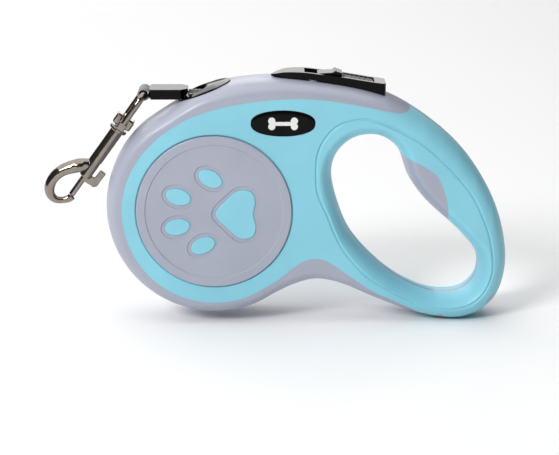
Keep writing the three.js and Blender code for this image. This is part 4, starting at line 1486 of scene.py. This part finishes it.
class LEASH_OT_tape(bpy.types.Operator):
    """Builds the tape outside the mouth, its end stop and the loop round the snap's eye"""

    bl_idname = "leash.tape"
    bl_label = "Tape"

    def execute(self, context):
        steps = 60
        reach = TAPE_HIGH.x - TAPE_LOW.x
        path = [(TAPE_LOW.x + reach * i / steps, TAPE_Z) for i in range(steps + 1)]
        lead = strap(path, TAPE_HALF, TAPE_THICK)
        finished(
            lead, "tape_lead_woven", ["tape_lead"], "lead", finish("tape_black")
        )

        low, high = STOP_LOW, STOP_HIGH
        plan = [
            (low.x, low.y + 3.4),
            (low.x + 0.9, low.y),
            (high.x - 3, low.y),
            (high.x, low.y + 2.9),
            (high.x, high.y - 2.9),
            (high.x - 3, high.y),
            (low.x + 0.9, high.y),
            (low.x, high.y - 3.4),
        ]
        column = loft([[(x, y, low.z - 1) for x, y in plan], [(x, y, high.z + 1) for x, y in plan]])
        stop = slab(
            [
                (low.x, low.z + 1.3),
                (low.x + 1.2, low.z),
                (high.x - 3, low.z),
                (high.x, low.z + 2.1),
                (high.x, high.z),
                (low.x, high.z),
            ],
            high.y,
            low.y,
        )
        combine(stop, column, operation="INTERSECT")
        bevel(stop, 0.3, segments=3, degrees=20)
        finished(
            stop, "end_stop_moulded", ["end_stop"], "lead", finish("black_gloss")
        )

        pivot = (Vector(JOINTS["snap_swing"]["pos_m"]) - REEL_AXIS) / MM
        loop_low, loop_high = span("tape_loop")
        bend = (loop_high.z - loop_low.z) / 2 - TAPE_THICK / 2
        start = STOP_LOW.x + 0.3
        turn = arc(bend, 62, 298, 26, pivot.x, pivot.z)
        path = [(start, pivot.z + 1.2), *turn, (start, pivot.z - 1.2)]
        loop = strap(path, loop_high.y, TAPE_THICK)
        finished(loop, "tape_loop_woven", ["tape_loop"], "lead", finish("tape_grey"))
        return {"FINISHED"}


# ---- Snap ----

EYE_WIRE = 1.5
EYE_HALF_WIDTH = 8.8
EYE_DROP = 14.5
EYE_BASE = 4
BARREL_TOP = 19.6
BARREL_END = 47.4
STEM_RADIUS = 1.5
STEM_END = BARREL_TOP + 6.5
BARREL_RADIUS = 2.95
COLLAR_RADIUS = 4.15
BOLT_RADIUS = 1.4
BOLT_TOP = 38
BOLT_END = 57.8
BORE_TOP = BOLT_TOP - 9.5
BOLT_TRAVEL = max(abs(end) for end in JOINTS["bolt_slide"]["range_m"]) / MM
LEVER_REACH = 7.1


class LEASH_OT_snap(bpy.types.Operator):
    """Builds the swivel eye, the snap's body and its spring bolt"""

    bl_idname = "leash.snap"
    bl_label = "Snap"

    def execute(self, context):
        self.eye()
        self.body()
        self.bolt()
        return {"FINISHED"}

    def eye(self):
        side = [
            (0, EYE_HALF_WIDTH, -EYE_DROP - 2),
            (0, EYE_HALF_WIDTH, -EYE_DROP / 2),
            (0, EYE_HALF_WIDTH - 0.15, -4.4),
            (0, EYE_HALF_WIDTH - 0.8, -1.7),
            (0, EYE_HALF_WIDTH - 2.4, -0.25),
            (0, EYE_HALF_WIDTH - 4.2, 0),
        ]
        line = [(x, -y, z) for x, y, z in side] + list(reversed(side))
        eye = tube(smooth(line, 72, closed=False), EYE_WIRE, sides=8)
        half = EYE_HALF_WIDTH + EYE_WIRE
        base = bevel(block((-2, -half, -EYE_DROP - EYE_BASE), (2, half, -EYE_DROP)), 0.7, 3)
        boss = bevel(block((-4.4, -3, -EYE_DROP - EYE_BASE), (4.4, 3, -EYE_DROP + 1)), 0.8, 3)
        stem = turned([(STEM_RADIUS, -STEM_END), (STEM_RADIUS, -EYE_DROP - 2)], 32)
        unite(eye, base, boss, stem)
        combine(eye, block((-1.3, -4, -EYE_DROP - EYE_BASE + 2), (1.3, 4, -EYE_DROP + 2)))
        self.done(eye, "swivel_eye", "eye")

    def body(self):
        end = -BARREL_END
        top = -BARREL_TOP
        barrel = turned(
            [
                (BARREL_RADIUS - 0.9, end),
                (BARREL_RADIUS - 0.35, end + 0.25),
                (BARREL_RADIUS, end + 0.9),
                (BARREL_RADIUS, top - COLLAR_RADIUS / 2),
                (BARREL_RADIUS + 0.35, top - 1.75),
                (COLLAR_RADIUS - 0.3, top - 1.65),
                (COLLAR_RADIUS, top - 1.2),
                (COLLAR_RADIUS, top - 0.5),
                (COLLAR_RADIUS - 0.35, top - 0.1),
                (COLLAR_RADIUS - 0.9, top),
            ]
        )
        # Middle of the hook's wire, with its radius there: it tapers from the neck to the tip.
        wire = [
            (-0.2, end + 7.4, 2.4),
            (-2.2, end + 5.2, 2.9),
            (-4.3, end + 3.5, 3.2),
            (-6.2, end + 1.4, 3.15),
            (-8.3, end - 1.2, 2.9),
            (-10.2, end - 4.8, 2.65),
            (-10.9, end - 9.4, 2.45),
            (-9.9, end - 13.4, 2.35),
            (-7.7, end - 15.8, 2.05),
            (-5.2, end - 16.4, 1.75),
            (-3.2, end - 15.7, 1.6),
            (-1.3, end - 14.2, 1.6),
            (0.1, end - 12.4, 1.75),
            (0.5, end - 10.9, 1.8),
        ]
        line = smooth(wire, 90, closed=False)
        radii = [radius for _, _, radius in line]
        line = [(x, 0, z) for x, z, _ in line]
        hook = tube(line, 1, radii=radii, sides=8)
        unite(barrel, hook)
        stem_room = STEM_RADIUS + RUNNING
        bore = turned([(stem_room, -STEM_END - RUNNING), (stem_room, top + 1)], 32)
        bolt_room = BOLT_RADIUS + 0.3
        bolt_bore = turned([(bolt_room, -BOLT_END - RUNNING), (bolt_room, -BORE_TOP)], 32)
        slot = block((0, -1.5, end - 1), (BARREL_RADIUS + 1, 1.5, end + 2.8 + BOLT_TRAVEL))
        combine(barrel, bore, bolt_bore, slot)
        self.done(barrel, "snap_body", "snap")

    def bolt(self):
        end = -BARREL_END
        rod = turned(
            [
                (BOLT_RADIUS - 0.3, -BOLT_END),
                (BOLT_RADIUS, -BOLT_END + 0.3),
                (BOLT_RADIUS, -BOLT_TOP - 0.3),
                (BOLT_RADIUS - 0.3, -BOLT_TOP),
            ],
            32,
        )
        lever = slab(
            [
                (0, end - 1.9),
                (4.4, end - 1.6),
                *arc(2.5, -70, -10, 6, 4.7, end + 0.6),
                (LEVER_REACH, end + 2.6),
                (LEVER_REACH + 0.1, end + 6.7),
                (LEVER_REACH - 2.9, end + 6.9),
                (LEVER_REACH - 3, end + 2.7),
                (0, end + 1.1),
            ],
            1.35,
            -1.35,
        )
        bevel(lever, 0.8, segments=3)
        unite(rod, lever)
        self.done(rod, "snap_bolt", "bolt")

    def done(self, piece, node, body):
        finished(
            piece, f"{node}_plated", [node], body, finish("nickel"), place=SNAP
        )


# ---- Screws and inner parts ----


class LEASH_OT_screws(bpy.types.Operator):
    """Builds the cross-head screws that close the housing"""

    bl_idname = "leash.screws"
    bl_label = "Screws"

    def execute(self, context):
        for i, (x, z) in enumerate(SCREW_SPOTS, 1):
            head = SCREW_SEAT + 0.125
            radius = SCREW_HEAD_RADIUS
            profile = [
                (0.3, -SCREW_REACH),
                (SCREW_RADIUS, -SCREW_REACH + 1.2),
                (SCREW_RADIUS, head),
                (radius, head),
                (radius, head + 0.7),
                (radius - 0.25, head + 1.2),
                (radius - 0.9, head + 1.6),
                (0.6, head + 1.8),
            ]
            rings = [level(arc(r, 0, 348.75, 31, x, z), y) for r, y in profile]
            screw = loft(rings)
            for wide, tall in ((1.5, 0.28), (0.28, 1.5)):
                slot = block((x - wide, head + 0.7, z - tall), (x + wide, head + 3, z + tall))
                combine(screw, slot)
            node = f"screw_{i}"
            finished(screw, f"{node}_cross_head", [node], "housing", finish("steel"))
        return {"FINISHED"}


INNER_PARTS = {
    "nylon": ["reel", "reel_flange", "brake_pawl"],
    "steel": [
        "spiral_spring",
        "axle_pin",
        "axle_screw",
        "pawl_pin",
        "button_spring",
        "snap_spring",
    ],
    "tape_wound": ["tape_coil", "tape_run"],
}


class LEASH_OT_inner_parts(bpy.types.Operator):
    """Gives the parts inside the housing their materials"""

    bl_idname = "leash.inner_parts"
    bl_label = "Inner parts"

    def execute(self, context):
        for name, nodes in INNER_PARTS.items():
            for node in nodes:
                mesh = frame["nodes"][node].data
                mesh.materials.clear()
                mesh.materials.append(finish(name))
        return {"FINISHED"}


# ---- Stage ----


LENS = 109
SENSOR = 36
CAMERA_SIDE = 0.024
CAMERA_RISE = 0.2027
CAMERA_TURN = math.radians(-0.4)
FLOOR_SIZE = 16
FLOOR_GAP = 0.0002
# Each light's name, place, target and size, in metres
LIGHTS = [
    ("key", (-1, -1.1, 0.95), (0, 0, 0.01), (0.5, 0.5)),
    ("fill", (0.9, -1.1, 0.45), (0, 0, 0.01), (0.5, 0.9)),
    ("top", (-0.7, 0.4, 1.7), (-0.7, 0.4, 0), (3, 3)),
    ("back", (-0.7, 2.2, 0.85), (-0.5, 0, 0.6), (2.4, 1.1)),
]


def area_light(name, place, target, size, power):
    lamp = bpy.data.lights.new(name, "AREA")
    lamp.shape = "RECTANGLE"
    lamp.size, lamp.size_y = size
    lamp.energy = power
    light = bpy.data.objects.new(name, lamp)
    bpy.context.scene.collection.objects.link(light)
    light.location = place
    light.rotation_euler = (target - place).to_track_quat("-Z", "Y").to_euler()


class LEASH_OT_stage(bpy.types.Operator):
    """Builds the floor, the camera and the lights"""

    bl_idname = "leash.stage"
    bl_label = "Stage"

    def execute(self, context):
        scene = context.scene
        stage = scene.leash_stage
        floor_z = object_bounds()[0].z - FLOOR_GAP
        choose()
        bpy.ops.mesh.primitive_grid_add(
            x_subdivisions=12, y_subdivisions=12, size=FLOOR_SIZE, location=(0, 0, floor_z)
        )
        floor = context.object
        floor.name = "floor"
        floor.data.materials.append(finish("floor"))
        floor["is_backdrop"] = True

        lens = bpy.data.cameras.new("camera")
        lens.lens = LENS
        lens.sensor_width = SENSOR
        lens.clip_start = 0.01
        camera = bpy.data.objects.new("camera", lens)
        scene.collection.objects.link(camera)
        camera.location = REEL_AXIS + Vector((CAMERA_SIDE, -stage.distance, CAMERA_RISE))
        camera.rotation_euler = (math.pi / 2 - stage.elevation, 0, CAMERA_TURN)
        scene.camera = camera

        for name, place, target, size in LIGHTS:
            area_light(name, Vector(place), Vector(target), size, getattr(stage, f"{name}_power"))
        world = bpy.data.worlds.new("room")
        scene.world = world
        world.use_nodes = True
        room = world.node_tree.nodes["Background"].inputs
        room["Color"].default_value = (1, 1, 1, 1)
        room["Strength"].default_value = stage.sky
        scene.view_settings.view_transform = "Standard"
        return {"FINISHED"}


# ---- Panel and registration ----

BUILDERS = [
    LEASH_OT_housing,
    LEASH_OT_side_discs,
    LEASH_OT_badges,
    LEASH_OT_mouth_guide,
    LEASH_OT_brake,
    LEASH_OT_tape,
    LEASH_OT_snap,
    LEASH_OT_screws,
    LEASH_OT_inner_parts,
    LEASH_OT_stage,
]


class LEASH_PT_panel(bpy.types.Panel):
    """Lists the leash's sizes, colours and builders"""

    bl_label = "Leash"
    bl_idname = "LEASH_PT_panel"
    bl_space_type = "VIEW_3D"
    bl_region_type = "UI"
    bl_category = "Leash"

    def draw(self, context):
        scene = context.scene
        for group in (scene.leash_sizes, scene.leash_colours, scene.leash_stage):
            box = self.layout.box()
            for name in group.__annotations__:
                box.prop(group, name)
        for builder in BUILDERS:
            self.layout.operator(builder.bl_idname)


CLASSES = [LeashSizes, LeashColours, LeashStage, *BUILDERS, LEASH_PT_panel]


def register():
    for cls in CLASSES:
        bpy.utils.register_class(cls)
    bpy.types.Scene.leash_sizes = bpy.props.PointerProperty(type=LeashSizes)
    bpy.types.Scene.leash_colours = bpy.props.PointerProperty(type=LeashColours)
    bpy.types.Scene.leash_stage = bpy.props.PointerProperty(type=LeashStage)


def unregister():
    del bpy.types.Scene.leash_stage
    del bpy.types.Scene.leash_colours
    del bpy.types.Scene.leash_sizes
    for cls in reversed(CLASSES):
        bpy.utils.unregister_class(cls)


def main():
    register()
    for builder in BUILDERS:
        group, name = builder.bl_idname.split(".")
        getattr(getattr(bpy.ops, group), name)()


if __name__ == "__main__":
    main()
